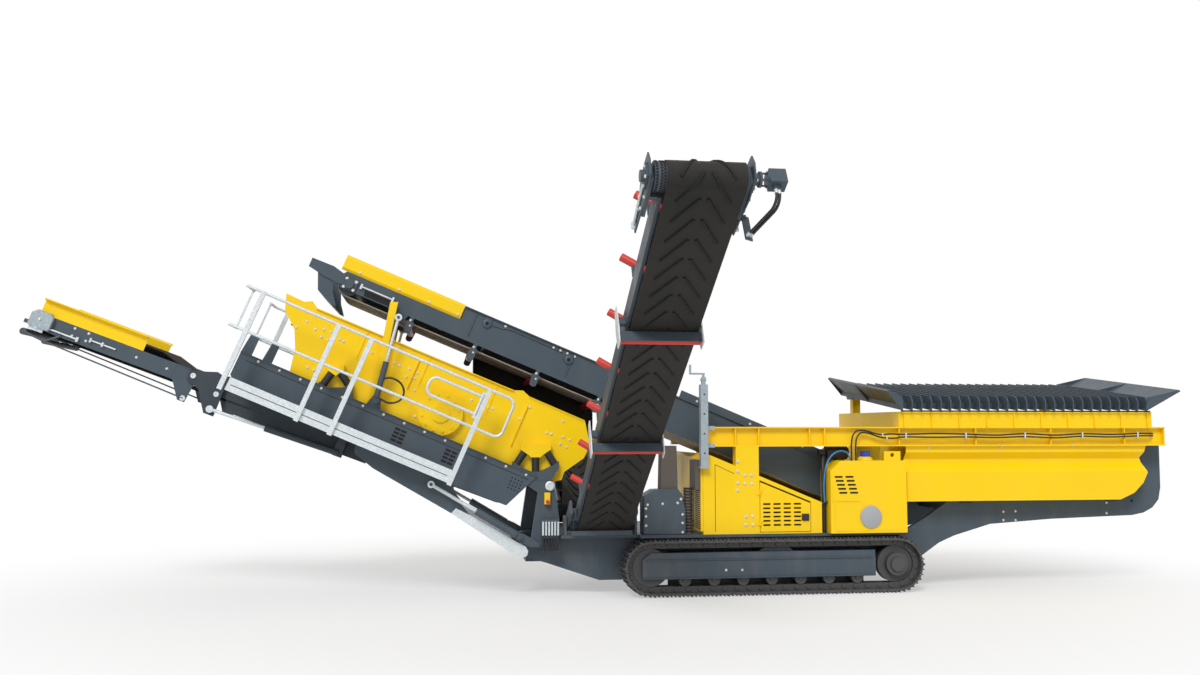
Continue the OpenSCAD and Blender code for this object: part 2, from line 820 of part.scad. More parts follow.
module main_belt() {
    color(rubber)
        on_main()
            belt_loop(main_head_u, main_tail_u, main_axis_w, main_drum, main_belt_width, 25, 700, 1500);
}

module main_covers() {
    color(yellow)
        on_main()
            both_sides()
                profile_yz(160, 1825, [[-main_half, 300], [-main_half - 25, 330], [-main_half - 25, 470],
                    [-main_half + 10, 505], [-main_half + main_plate, 505], [-main_half + main_plate, 300]]);
}

module main_idlers() {
    top = main_axis_w + main_drum - belt_t;
    under = main_axis_w - main_drum;
    color(red)
        on_main() {
            for (u = [1600 : 900 : 6100])
                union() {
                    bar_y(u, top - 50 - running_gap, -200, 200, 50);
                    both_sides()
                        translate([u, -main_belt_width * 0.19, top])
                            rotate([-25, 0, 0])
                                bar_y(0, -48 - running_gap, -350, -20, 48);
                    block(u - 30, u + 30, -main_half + main_plate, main_half - main_plate, top - 130,
                        top - 90);
                    both_sides()
                        block(u - 12, u + 12, -480, -180, top - 100, top - 30);
                }
            for (u = return_at)
                bar_y(u, under - 46, -main_half + main_plate + seam, main_half - main_plate - seam, 42);
        }
}

// Screen box on its springs

screen_side = [[-13, 19], [58, -187], [268, -364], [378, -585], [440, -892], [4100, -892], [4221, -808],
    [4214, -696], [4383, -430], [4395, -244], [4201, 35], [3400, 35], [3290, 75], [3180, 30], [420, 0],
        [330, 60],
    [240, 10]];

// Springs under each end of the screen: foot of the middle, then [offset, offset, lean] of each spring
feed_springs = [screen_pt(1044, -812), [[-161, 0, -35], [161, 0, 35]]];
end_springs = [screen_pt(3854, -837), [[-250, 98, -33.5], [0, 0, 0], [250, 98, 33.5]]];
spring_length = 184;
seat_half = spring_radius + 14;

// The line of seats under the springs, or over them when raised by their length
function seat_line(group, rise) = [for (p = group[1])
    let (foot = group[0] + [p[0], p[1]] + rise * [-sin(p[2]), cos(p[2])], along = [cos(p[2]), sin(p[2])])
    each [foot - seat_half * along, foot + seat_half * along]];

module screen_sides() {
    top_feed = seat_line(feed_springs, spring_length);
    top_end = seat_line(end_springs, spring_length);
    color(yellow) {
        both_sides()
            union() {
                on_screen() {
                    plate_xz(-screen_half, -screen_half + screen_plate, screen_side);
                    plate_xz(-screen_half - 30, -screen_half + 5, [[420, 0], [420, -14], [3180, 16], [3180,
                        30]]);
                    for (u = [1130, 2000, 2950])
                        block(u, u + 12, -screen_half - 12, -screen_half + 5, -400, -5);
                    plate_xz(-screen_half - 14, -screen_half + 5, [[3400, 35], [3400, 21], [4200, 21],
                        [4200, 35]]);
                }
                for (line = [top_feed, top_end])
                    plate_xz(-skirt_in + 15, -screen_half + 5, concat(line, [line[len(line) - 1] + [0, 70],
                        line[0] + [0, 70]]));
            }
        on_screen()
            for (i = [0 : tube_count - 1])
                bar_y(500 + i * 3500 / (tube_count - 1), -560, -screen_width / 2 + seam,
                    screen_width / 2 - seam, 60);
    }
}

module screen_decks() {
    color(steel)
        on_screen() {
            block(200, 4250, -screen_width / 2 + seam, screen_width / 2 - seam, -330, -300);
            block(500, 4150, -screen_width / 2 + seam, screen_width / 2 - seam, -800, -770);
        }
}

module screen_springs() {
    color(black)
        both_sides()
            for (group = [feed_springs, end_springs], p = group[1])
                translate([group[0][0] + p[0], -spring_y, group[0][1] + p[1]])
                    rotate([0, -p[2], 0])
                        translate([0, 0, seam / 2])
                            cylinder(r = spring_radius, h = spring_length - seam);
}

module exciter() {
    color(yellow)
        on_screen() {
            bar_y(2416, -560, -screen_width / 2 + seam, screen_width / 2 - seam, 30);
            both_sides()
                union() {
                    bar_y(2416, -626, -screen_half - 75, -screen_half, 290);
                    bar_y(2416, -626, -screen_half - 95, -screen_half - 60, 120);
                }
        }
}

module subframe() {
    skirt = [[-200, -885], [-170, -610], [-60, -610], [-60, -885], [1500, -885], [1540, -745], [1650, -745],
        [1690, -885], [3895, -885], [3668, -1387], [2960, -1416], [2100, -1400], [40, -1400], [-200, -1210]];
    low_feed = seat_line(feed_springs, 0);
    low_end = seat_line(end_springs, 0);
    foot = screen_pt(strut_ram_foot[0], strut_ram_foot[1]);
    color(slate)
        both_sides()
            union() {
                on_screen() {
                    plate_xz(-skirt_out, -skirt_in, skirt);
                    plate_xz(-skirt_out - 14, -skirt_out + 5, [[-200, -899], [-200, -885], [3895, -885],
                        [3889, -899]]);
                }
                bar_y(foot[0], foot[1], -ram_y - 32, -skirt_in, 20);
                plate_xz(-skirt_in - 5, -screen_half - 7, concat(low_feed, [low_feed[3] - [0, 210],
                    low_feed[0] - [0, 120]]));
                plate_xz(-skirt_in - 5, -screen_half - 7, concat(low_end, [low_end[5] - [0, 90], [-1000,
                    seat_z],
                    [-1400, seat_z], low_end[0] - [10, 60]]));
            }
}

strut_ram_foot = [1593, -792];
seat_z = end_springs[0][1] - 114;

module conveyor_struts() {
    color(yellow)
        both_sides()
            union() {
                plate_xz(-skirt_in, -screen_half - 35, [[-3100, 3810], [-3000, 3810], [-3090, 3363],
                    [-3230, 2700],
                    [-3345, 2220], [-3425, 2240], [-3320, 2700], [-3180, 3373]]);
                bar_y(-3050, 3775, -screen_half - 45, -main_half, 35);
            }
}

// Walkways, handrails and gates

module walkways() {
    color(zinc)
        on_screen()
            both_sides()
                union() {
                    profile_yz(-136, 2850, [[-walk_out, -1400], [-walk_out, -1230], [-walk_out + 8, -1230],
                        [-walk_out + 8, -1310], [-skirt_out, -1310], [-skirt_out, -1335], [-walk_out + 8,
                            -1335],
                        [-walk_out + 8, -1400]]);
                }
}

// Straight rails along the walkway, inwards and up, and their bends
module rail_u(u, w, l) {
    translate([u, -rail_y, w])
        rotate([0, 90, 0])
            cylinder(d = rail_diameter, h = l);
}

module rail_in(u, w, l) {
    translate([u, -rail_y, w])
        rotate([-90, 0, 0])
            cylinder(d = rail_diameter, h = l);
}

module rail_w(u, w, l) {
    translate([u, -rail_y, w])
        cylinder(d = rail_diameter, h = l);
}

module rail_bend(u, w, a) {
    translate([u, -rail_y, w])
        rotate([90, 0, 0])
            rotate([0, 0, a])
                rotate_extrude(angle = 90)
                    translate([100, 0])
                        circle(d = rail_diameter);
}

module handrails() {
    posts = [-195, 810, 1255, 2870];
    color(zinc)
        on_screen()
            both_sides()
                union() {
                    for (u = posts)
                        block(u - 30, u + 30, -walk_out - 40, -walk_out, -1420, -95);
                    for (w = [-110, -635]) {
                        rail_u(-400 - rail_diameter / 2, w, 3530 + rail_diameter / 2);
                        rail_in(-400, w, 500);
                    }
                    block(-412, -388, -rail_y + 440, -rail_y + 464, -640, -105);
                    rail_bend(3130, -210, 0);
                    rail_bend(3130, -535, 270);
                    rail_w(3230, -535, 325);
                    for (w = [-200 + running_gap, -525])
                        block(2796, 2845, -walk_out - 40, -walk_out, w, w + 25 - running_gap);
                }
}

module gate_leaf() {
    on_screen()
        union() {
            rail_u(2818 - gate_length + 100, -230, gate_length - 100);
            rail_u(2818 - gate_length + 100, -470, gate_length - 100);
            rail_bend(2818 - gate_length + 100, -330, 90);
            rail_bend(2818 - gate_length + 100, -370, 180);
            rail_w(2818 - gate_length, -370, 40);
            rail_w(2818, -500, 300);
        }
}

module near_gate() {
    color(zinc)
        gate_leaf();
}

module far_gate() {
    color(zinc)
        mirror([0, 1, 0])
            gate_leaf();
}

// Fines conveyor with its folding tail

module fines_frame() {
    color(slate)
        on_fines() {
            both_sides()
                union() {
                    plate_xz(-fines_half, -fines_half + 20, [[70, -130], [70, 75], [4320, 75], [4320, -130]]);
                    for (u = [1300, 2000, 3800])
                        block(u, u + 120, -skirt_in, -fines_half, -60, 40);
                    difference() {
                        plate_xz(-fines_half - 60, -fines_half - 35, [[-60, -70], [-60, 60], [20, 75],
                            [260, 157],
                            [420, 120], [420, -390], [290, -390], [120, -130]]);
                        bar_y(0, 5, -fines_half - 70, -fines_half - 20, 25 + pin_gap);
                    }
                    block(200, 400, -fines_half - 40, -fines_half, -110, 60);
                }
            union() {
                bar_y(4200, fines_axis_w, -600, 600, drum_radius(fines_drum));
                bar_y(4200, fines_axis_w, -fines_half + 20 + seam, fines_half - 20 - seam, 35);
            }
            for (u = [800, 2000, 3200])
                bar_y(u, fines_axis_w - 10, -fines_half + 20 + seam, fines_half - 20 - seam, 30);
        }
}

module fines_belt() {
    r = fines_drum - belt_t / 2;
    z = fines_axis_w;
    color(rubber)
        on_fines()
            belt_strip(concat(
                [[14, z - r, 270, 0]],
                wrap(4200, z, r, 270, 450, wrap_steps),
                [[3800, z + r, 90, 1], [500, z + r, 90, 1], [14, z + r, 90, 0]]
            ), fines_belt_width, belt_t, 25, false);
}

module tail_frame() {
    color(slate)
        on_fines() {
            both_sides()
                union() {
                    plate_xz(-fines_half, -fines_half + 20, [[-tail_length - 60, -110], [-tail_length - 60,
                        0],
                        [-1860, 75], [-70, 75], [-70, -130], [-1860, -130]]);
                    plate_xz(-fines_half - 25, -fines_half, [[-240, 60], [-180, 60], [40, 45], [45, -40],
                        [10, -350],
                        [-80, -350], [-240, -120]]);
                    block(-tail_length - 175, -tail_length - 50, -fines_half, -fines_half + 20, -105, -55);
                    bar_y(0, 5, -fines_half - 60, -fines_half - 20, 25);
                }
            union() {
                bar_y(-tail_length, fines_axis_w, -600, 600, drum_radius(fines_drum));
                bar_y(-tail_length, fines_axis_w, -fines_half + 20 + seam, fines_half - 20 - seam, 35);
            }
            for (u = [-1500, -500])
                bar_y(u, fines_axis_w - 10, -fines_half + 20 + seam, fines_half - 20 - seam, 30);
            bar_y(-tail_length - 145, -80, -fines_half + 20 + seam, fines_half - 20 - seam, 26);
        }
}

module tail_belt() {
    r = fines_drum - belt_t / 2;
    z = fines_axis_w;
    color(rubber)
        on_fines()
            belt_strip(concat(
                [[-14, z + r, 90, 0], [-500, z + r, 90, 1], [-tail_length + 350, z + r, 90, 1]],
                wrap(-tail_length, z, r, 90, 270, wrap_steps),
                [[-14, z - r, 270, 0]]
            ), fines_belt_width, belt_t, 25, false);
}

module tail_covers() {
    color(yellow)
        on_fines()
            both_sides()
                union() {
                    block(-2040, -705, -fines_half, -fines_half + 12, 75, 250);
                    profile_yz(-2040, -705, [[-fines_half + 12, 250], [-fines_half - 70, 275],
                        [-fines_half - 70, 262],
                        [-fines_half + 1, 238]]);
                }
}

module tail_fittings() {
    color(zinc)
        on_fines()
            both_sides()
                union() {
                    block(-tail_length - 90, -tail_length + 90, -fines_half - 28, -fines_half,
                        fines_axis_w - 80,
                        fines_axis_w + 60);
                    bar_y(-tail_length, fines_axis_w, -fines_half - 60, -fines_half - 20, 45);
                    bar_x(-fines_half - 14, fines_axis_w, -tail_length + 80, -tail_length + 520, 11);
                    block(-tail_length + 500, -tail_length + 530, -fines_half - 32, -fines_half,
                        fines_axis_w - 30,
                        fines_axis_w + 30);
                }
}

// Lift arms from the chassis nose to the screen's subframe, with the valve bank beside them

module lift_arms() {
    top_a = screen_pt(1560, -1330);
    top_b = screen_pt(2900, -1330);
    lug = main_pt(strut_lug[0], strut_lug[1]);
    foot = screen_pt(strut_ram_foot[0], strut_ram_foot[1]);
    color(slate)
        both_sides() {
            union() {
                plate_xz(-skirt_in, -screen_half - 45, [top_a, [-3525, 1859], [-3292, 1667], [-2292, 1086],
                    [-2050, 1060],
                    [-2250, 1300], top_b]);
                bar_y(ram_head[0], ram_head[1], -ram_y - 32, -skirt_in + 5, 20);
            }
            plate_xz(-skirt_in, -screen_half - 45, [[-1250, tower_z], [-900, tower_z], [-890, 1000], [-940,
                1340],
                [-1000, seat_z], [-1400, seat_z], [-1260, 1400], [-1170, 1340], [-1250, 780]]);
            ram_barrel(ram_foot, ram_head, 0.49, -ram_y, 48);
            ram_barrel(foot, lug, 0.46, -ram_y, 38);
        }
}

module lift_struts() {
    lug = main_pt(strut_lug[0], strut_lug[1]);
    foot = screen_pt(strut_ram_foot[0], strut_ram_foot[1]);
    color(zinc)
        both_sides() {
            plate_xz(-skirt_out + 2, -skirt_in, [[-2292, 1086], [-2230, 1150], [-2014, 1041], [-1409, 691],
                [-1330, 650],
                [-1295, 590], [-1310, 530], [-1370, 505], [-1473, 543]]);
            ram_rod(ram_foot, ram_head, 0.49, -ram_y, 24);
            ram_rod(foot, lug, 0.46, -ram_y, 20);
        }
}

module valve_bank() {
    color(slate)
        both_sides()
            union() {
                block(-1132, -905, -skirt_in - 130, -skirt_in, 760, 1000);
                for (i = [0 : 5])
                    block(-1120 + i * 36, -1098 + i * 36, -skirt_in - 120, -skirt_in - 30, 700, 765);
            }
}

module rubber_curtain() {
    gap = running_gap;
    color(rubber)
        plate_xz(main_half + gap, main_half + 10, [[-1970, 2650], [-1970, 3330], [-220, 2610], [-220, 1910]]);
}

// Side conveyors

// Each is built to the length that its caller gives as $reach
module side_frame(slope) {
    head = $reach;
    on_side(slope) {
        both_sides()
            union() {
                block(side_end, head - side_end, -side_rail, -side_rail + 35, -90, 90);
                for (u = [side_end, head - side_end - 40])
                    block(u, u + 40, -side_half, -side_rail + 35, -80, 80);
                block(-120, 420, -side_half, -side_half + 30, -90, 90);
                block(head - 420, head + 60, -side_half, -side_half + 30, -90, 90);
                plate_xz(-side_half - 14, -side_half, [[head - 700, -40], [head - 700, 40], [head - 380, 80],
                    [head - 260, 150], [head - 60, 175], [head + 130, 150], [head + 165, 40], [head + 130,
                        -90],
                    [head - 120, -120], [head - 380, -80]]);
                block(head - 90, head + 90, -side_half - 34, -side_half - 10, -75, 75);
                bar_y(head, 0, -side_half - 72, -side_half - 20, 52);
                bar_y(0, 0, -side_half - 38, -side_half, 30);
                for (u = guard_at)
                    block(u - 20, u + 30, -side_half + 30, -side_rail + 5, -70, 10);
            }
        for (u = [600, 1900, 3200, 4500, 5800])
            block(u - 30, u + 34, -side_rail + 35 + seam, side_rail - 35 - seam, -52, 38);
        for (u = [0, $reach])
            union() {
                bar_y(u, 0, -side_half + 38, side_half - 38, drum_radius(side_drum));
                bar_y(u, 0, -side_half + 30 + seam, side_half - 30 - seam, 40);
            }
    }
}

module side_belt(slope) {
    on_side(slope)
        translate([0, side_shift, 0])
            belt_loop(0, $reach, 0, side_drum, side_belt_width, side_tilt, 450, 450);
}

// Wing rollers under the carrying strand and return rollers behind the guards
module side_rollers(slope) {
    fold = side_belt_width * 0.19;
    top = side_drum - belt_t;
    on_side(slope) {
        for (u = [650 : 900 : $reach - 500]) {
            union() {
                translate([u, side_shift - fold, top])
                    rotate([-side_tilt, 0, 0])
                        bar_y(0, -40 - running_gap, -390, -30, 40);
                block(u - 14, u + 14, -side_rail, -side_rail + 30, 90, 225);
            }
            union() {
                translate([u, side_shift + fold, top])
                    rotate([side_tilt, 0, 0])
                        bar_y(0, -40 - running_gap, 30, 220, 40);
                block(u - 14, u + 14, side_rail - 30, side_rail, 90, 160);
            }
        }
        for (u = guard_at)
            bar_y(u - 45, -side_drum - 60, -side_half + 30 + seam, side_half - 30 - seam, 52);
    }
}

module side_drive(slope) {
    head = $reach;
    out = side_half + 72;
    on_side(slope) {
        union() {
            bar_y(head, 0, out, out + 22, 70);
            for (a = [45 : 90 : 315])
                bar_y(head + 52 * cos(a), 52 * sin(a), out + 10, out + 80, 9);
            bar_y(head, 0, out + 70, out + 95, 72);
            block(head - 68, head + 68, out + 85, out + 235, -72, 72);
            on_hoses()
                block(-20, 20, -36, 36, hose_start, -70);
        }
        union() {
            on_hoses()
                block(hose_run, hose_run + 12, -40, 36, hose_start - hose_drop - hose_bend - 40, -34);
            block(head - 470, head - 425, side_half + 14 + seam, side_half + 60, -64, -30);
        }
        for (u = guard_at)
            block(u + 12, u + 22, -side_half + 30 + seam, side_half - 30 - seam, -262, -side_drum - 12);
    }
}

// The drive hoses' frame: under the motor, local X towards the bracket on the head plate
module on_hoses() {
    translate([$reach, side_half + 222, 0])
        rotate([0, 0, 201])
            children();
}

// Two hoses that drop from the motor, turn once and run level to their bracket
module side_hoses(slope) {
    turn_z = hose_start - hose_drop;
    color(black)
        on_side(slope)
            on_hoses()
                for (y = [-hose_gap, hose_gap])
                    translate([0, y, 0])
                        union() {
                            translate([0, 0, turn_z])
                                cylinder(r = hose_r, h = hose_drop - seam);
                            translate([hose_bend, 0, turn_z])
                                rotate([90, 0, 0])
                                    rotate([0, 0, 180])
                                        rotate_extrude(angle = 90)
                                            translate([hose_bend, 0])
                                                circle(r = hose_r);
                            bar_x(0, turn_z - hose_bend, hose_bend, hose_run - seam, hose_r);
                        }
}

// Galvanised plates that hold the guards and the head's tension screws
module side_fittings(slope) {
    on_side(slope)
        both_sides() {
            for (u = guard_at)
                plate_xz(-side_half + 18, -side_half + 30, [[u - 70, -300], [u + 60, -300], [u + 80, -120],
                    [u + 60, 120],
                    [u - 40, 120], [u - 90, -120]]);
            union() {
                bar_x(-side_half - 28, 0, $reach - 640, $reach - 90 - seam, 13);
                block($reach - 660, $reach - 630, -side_half - 46, -side_half - 14, -32, 32);
                block($reach - 420, $reach - 390, -side_half - 40, -side_half - 14, -24, 24);
            }
        }
}

// Uprights on the deck that carry the side conveyors' pivots
module side_feet() {
    color(slate)
        both_sides()
            for (x = [side_x - side_half - 42, side_x + side_half + 10])
                difference() {
                    plate_foot(x);
                    bar_x(-side_foot[0], side_foot[1], x - 10, x + 50, 30 + pin_gap);
                }
}

module plate_foot(x) {
    profile_yz(x, x + 32, [[-995, deck_top], [-780, deck_top], [-820, 1000], [-860, 1040], [-940, 1040],
        [-980, 1000]]);
}

module near_side_frame() {
    color(slate)
        side_frame(near_slope, $reach = near_length);
}

module near_side_belt() {
    color(rubber)
        side_belt(near_slope, $reach = near_length);
}

module near_side_rollers() {
    color(red)
        side_rollers(near_slope, $reach = near_length);
}

module near_side_drive() {
    color(slate)
        side_drive(near_slope, $reach = near_length);
}

module near_side_fittings() {
    color(zinc)
        side_fittings(near_slope, $reach = near_length);
}

module near_drive_hoses() {
    side_hoses(near_slope, $reach = near_length);
}

module far_drive_hoses() {
    mirror([0, 1, 0])
        side_hoses(far_slope, $reach = far_length);
}

module far_side_frame() {
    color(slate)
        mirror([0, 1, 0])
            side_frame(far_slope, $reach = far_length);
}

module far_side_belt() {
    color(rubber)
        mirror([0, 1, 0])
            side_belt(far_slope, $reach = far_length);
}

module far_side_rollers() {
    color(red)
        mirror([0, 1, 0])
            side_rollers(far_slope, $reach = far_length);
}

module far_side_drive() {
    color(slate)
        mirror([0, 1, 0])
            side_drive(far_slope, $reach = far_length);
}

module far_side_fittings() {
    color(zinc)
        mirror([0, 1, 0])
            side_fittings(far_slope, $reach = far_length);
}

chassis();
rear_frame();
track_frames();
track_chains();
track_wheels();
engine_house();
engine_door();
radiator_grille();
tanks();
tank_fittings();
air_filter();
exhaust();
exhaust_stack();
support_jack();
jack_crank();
hopper_beams();
hopper_body();
hopper_panels();
feeder_frame();
feeder_belt();
tipping_grid();
grid_wings();
main_frame();
main_belt();
main_covers();
main_idlers();
screen_sides();
screen_decks();
screen_springs();
exciter();
subframe();
conveyor_struts();
walkways();
handrails();
near_gate();
far_gate();
fines_frame();
fines_belt();
tail_frame();
tail_belt();
tail_covers();
tail_fittings();
lift_arms();
lift_struts();
valve_bank();
rubber_curtain();
side_feet();
near_side_frame();
near_side_belt();
near_side_rollers();
near_side_drive();
near_side_fittings();
near_drive_hoses();
far_side_frame();
far_side_belt();
far_side_rollers();
far_side_drive();
far_side_fittings();
far_drive_hoses();
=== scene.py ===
"""Surface detail, finishes and studio for a tracked mobile vibrating screen."""
import json
import math

import bpy
import numpy as np
from bpy.props import FloatProperty, FloatVectorProperty, IntProperty, PointerProperty
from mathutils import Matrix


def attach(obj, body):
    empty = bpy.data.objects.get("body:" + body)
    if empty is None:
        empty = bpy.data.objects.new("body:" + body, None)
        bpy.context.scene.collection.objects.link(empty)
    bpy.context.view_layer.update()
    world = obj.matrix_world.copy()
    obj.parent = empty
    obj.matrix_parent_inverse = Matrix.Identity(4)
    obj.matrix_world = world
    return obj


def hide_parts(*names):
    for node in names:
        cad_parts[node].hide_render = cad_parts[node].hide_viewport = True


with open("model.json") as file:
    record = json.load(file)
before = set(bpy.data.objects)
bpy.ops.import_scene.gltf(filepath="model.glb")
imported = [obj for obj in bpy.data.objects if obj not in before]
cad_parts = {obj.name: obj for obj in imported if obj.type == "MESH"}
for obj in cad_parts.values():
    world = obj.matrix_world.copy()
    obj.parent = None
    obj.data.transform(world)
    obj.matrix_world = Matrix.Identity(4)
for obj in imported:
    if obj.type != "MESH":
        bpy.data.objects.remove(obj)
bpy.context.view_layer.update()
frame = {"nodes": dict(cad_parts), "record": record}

bl_info = {
    "name": "Vibrating screen dressing",
    "version": (1, 0, 0),
    "blender": (4, 5, 0),
    "location": "View3D > Sidebar > Screen",
    "description": "Dresses the solids of a tracked vibrating screen and sets up its studio",
    "category": "Object",
}


# Nodes

def linear(code):
    """Linear RGBA of an sRGB hex code: c / 12.92 up to 0.04045, else ((c + 0.055) / 1.055) ** 2.4."""
    srgb = np.array([int(code[i:i + 2], 16) for i in (0, 2, 4)]) / 255.0
    lin = np.where(srgb <= 0.04045, srgb / 12.92, ((srgb + 0.055) / 1.055) ** 2.4)
    return tuple(float(c) for c in lin) + (1.0,)


def shade(colour, share=1.0):
    """RGBA of an sRGB hex code or a linear colour, made darker or paler by a share."""
    if isinstance(colour, str):
        colour = linear(colour)
    return tuple(min(1.0, c * share) for c in tuple(colour)[:3]) + (1.0,)


def per_metre(mm):
    """Texture scale at which one feature is that many millimetres wide."""
    return 1000.0 / mm


def fill(tree, node, links):
    """Links or fills a node's inputs, which are given by name or number."""
    for key, value in links.items():
        if isinstance(value, bpy.types.NodeSocket):
            tree.links.new(value, node.inputs[key])
        else:
            node.inputs[key].default_value = value


def add(tree, kind, links=None, **settings):
    """Adds a shader node of a kind, sets its properties, and links or fills its inputs."""
    made = tree.nodes.new("ShaderNode" + kind)
    for key, value in settings.items():
        setattr(made, key, value)
    fill(tree, made, links or {})
    return made


def start(name):
    """An empty node material with its shader joined to its output: material, tree, shader, place on the object."""
    material = bpy.data.materials.new(name)
    material.use_nodes = True
    tree = material.node_tree
    tree.nodes.clear()
    shader = add(tree, "BsdfPrincipled")
    add(tree, "OutputMaterial", {"Surface": shader.outputs["BSDF"]})
    return material, tree, shader, add(tree, "TexCoord").outputs["Object"]


# Finishes

# Sprayed enamel on steel plate: an even, half-glossy colour that drifts from panel to panel, with
# orange peel, a few rubbed scuffs and a film of dry dust that gathers towards the ground.
def sprayed_enamel(name, paint, dust, gloss, dirt, metallic=0.0):
    material, tree, shader, place = start(name)
    drift = add(tree, "TexNoise", {"Vector": place, "Scale": per_metre(900), "Detail": 2.0})
    tone = add(tree, "Mix", {0: drift.outputs["Fac"], 6: shade(paint, 0.94), 7: shade(paint, 1.05)}, data_type="RGBA")
    scuff = add(tree, "TexNoise", {"Vector": place, "Scale": per_metre(45), "Detail": 8.0, "Roughness": 0.7})
    rubbed = add(tree, "MapRange", {"Value": scuff.outputs["Fac"], "From Min": 0.64, "From Max": 0.74, "To Max": 0.22})
    worn = add(tree, "Mix", {0: rubbed.outputs["Result"], 6: tone.outputs[2], 7: shade(paint, 0.62)}, data_type="RGBA")
    run = add(tree, "Mapping", {"Vector": place, "Scale": (1.0, 1.0, 0.35)})
    film = add(tree, "TexNoise", {"Vector": run.outputs["Vector"], "Scale": per_metre(220), "Detail": 7.0,
                                  "Roughness": 0.6})
    height = add(tree, "SeparateXYZ", {"Vector": place})
    low = add(tree, "MapRange", {"Value": height.outputs["Z"], "From Max": 1.6, "To Min": 1.0, "To Max": 0.3})
    patch = add(tree, "MapRange", {"Value": film.outputs["Fac"], "From Min": 0.42, "From Max": 0.78, "To Max": dirt})
    settled = add(tree, "Math", {0: patch.outputs["Result"], 1: low.outputs["Result"]}, operation="MULTIPLY")
    dusty = add(tree, "Mix", {0: settled.outputs["Value"], 6: worn.outputs[2], 7: shade(dust)}, data_type="RGBA")
    rough = add(tree, "MapRange", {"Value": film.outputs["Fac"], "From Min": 0.3, "From Max": 0.8, "To Min": gloss,
                                   "To Max": gloss + 0.2})
    # Orange peel is about 3 mm; drawn at 20 mm so that it still shows from the stage.
    peel = add(tree, "TexNoise", {"Vector": place, "Scale": per_metre(20), "Detail": 3.0})
    bump = add(tree, "Bump", {"Height": peel.outputs["Fac"], "Strength": 0.06, "Distance": 0.002})
    fill(tree, shader, {"Base Color": dusty.outputs[2], "Roughness": rough.outputs["Result"],
                        "Normal": bump.outputs["Normal"], "Metallic": metallic, "Specular IOR Level": 0.35})
    return material


# Hot-dip galvanised steel: pale grey crystals of different brightness, dull metal between matt and sheen.
def hot_dip_zinc(name, bright, dull):
    material, tree, shader, place = start(name)
    # Crystals of 18 mm, the size that a slow dip leaves.
    crystal = add(tree, "TexVoronoi", {"Vector": place, "Scale": per_metre(18), "Randomness": 1.0})
    grain = add(tree, "SeparateColor", {"Color": crystal.outputs["Color"]})
    cloud = add(tree, "TexNoise", {"Vector": place, "Scale": per_metre(260), "Detail": 4.0})
    share = add(tree, "Math", {0: grain.outputs["Red"], 1: cloud.outputs["Fac"]}, operation="MULTIPLY")
    tone = add(tree, "Mix", {0: share.outputs["Value"], 6: shade(dull), 7: shade(bright)}, data_type="RGBA")
    rough = add(tree, "MapRange", {"Value": grain.outputs["Red"], "To Min": 0.36, "To Max": 0.58})
    bump = add(tree, "Bump", {"Height": cloud.outputs["Fac"], "Strength": 0.12, "Distance": 0.003})
    fill(tree, shader, {"Base Color": tone.outputs[2], "Roughness": rough.outputs["Result"],
                        "Normal": bump.outputs["Normal"], "Metallic": 0.35})
    return material


# Vulcanised conveyor rubber: matt black with grey-brown fines rubbed into it along and across the belt.
# Where carry is given, the strand above that level along that direction is darkened towards that colour: painted shade
# on the carrying strand, which the lamps light from above.
def vulcanised_rubber(name, base, dust, dusting, grain_mm, carry=None):
    material, tree, shader, place = start(name)
    wear = add(tree, "TexNoise", {"Vector": place, "Scale": per_metre(grain_mm), "Detail": 8.0, "Roughness": 0.65})
    broad = add(tree, "TexNoise", {"Vector": place, "Scale": per_metre(700), "Detail": 2.0})
    mask = add(tree, "Math", {0: wear.outputs["Fac"], 1: broad.outputs["Fac"]}, operation="MULTIPLY")
    share = add(tree, "MapRange", {"Value": mask.outputs["Value"], "From Min": 0.14, "From Max": 0.42,
                                   "To Max": dusting})
    tone = add(tree, "Mix", {0: share.outputs["Result"], 6: shade(base), 7: shade(dust)}, data_type="RGBA")
    if carry:
        way, level, colour = carry
        height = add(tree, "VectorMath", {0: place, 1: way}, operation="DOT_PRODUCT")
        top = add(tree, "MapRange", {"Value": height.outputs["Value"], "From Min": level - 0.02,
                                     "From Max": level + 0.02, "To Max": 0.8})
        tone = add(tree, "Mix", {0: top.outputs["Result"], 6: tone.outputs[2], 7: shade(colour)}, data_type="RGBA")
    rough = add(tree, "MapRange", {"Value": wear.outputs["Fac"], "To Min": 0.66, "To Max": 0.94})
    bump = add(tree, "Bump", {"Height": wear.outputs["Fac"], "Strength": 0.25, "Distance": 0.004})
    fill(tree, shader, {"Base Color": tone.outputs[2], "Roughness": rough.outputs["Result"],
                        "Normal": bump.outputs["Normal"]})
    return material


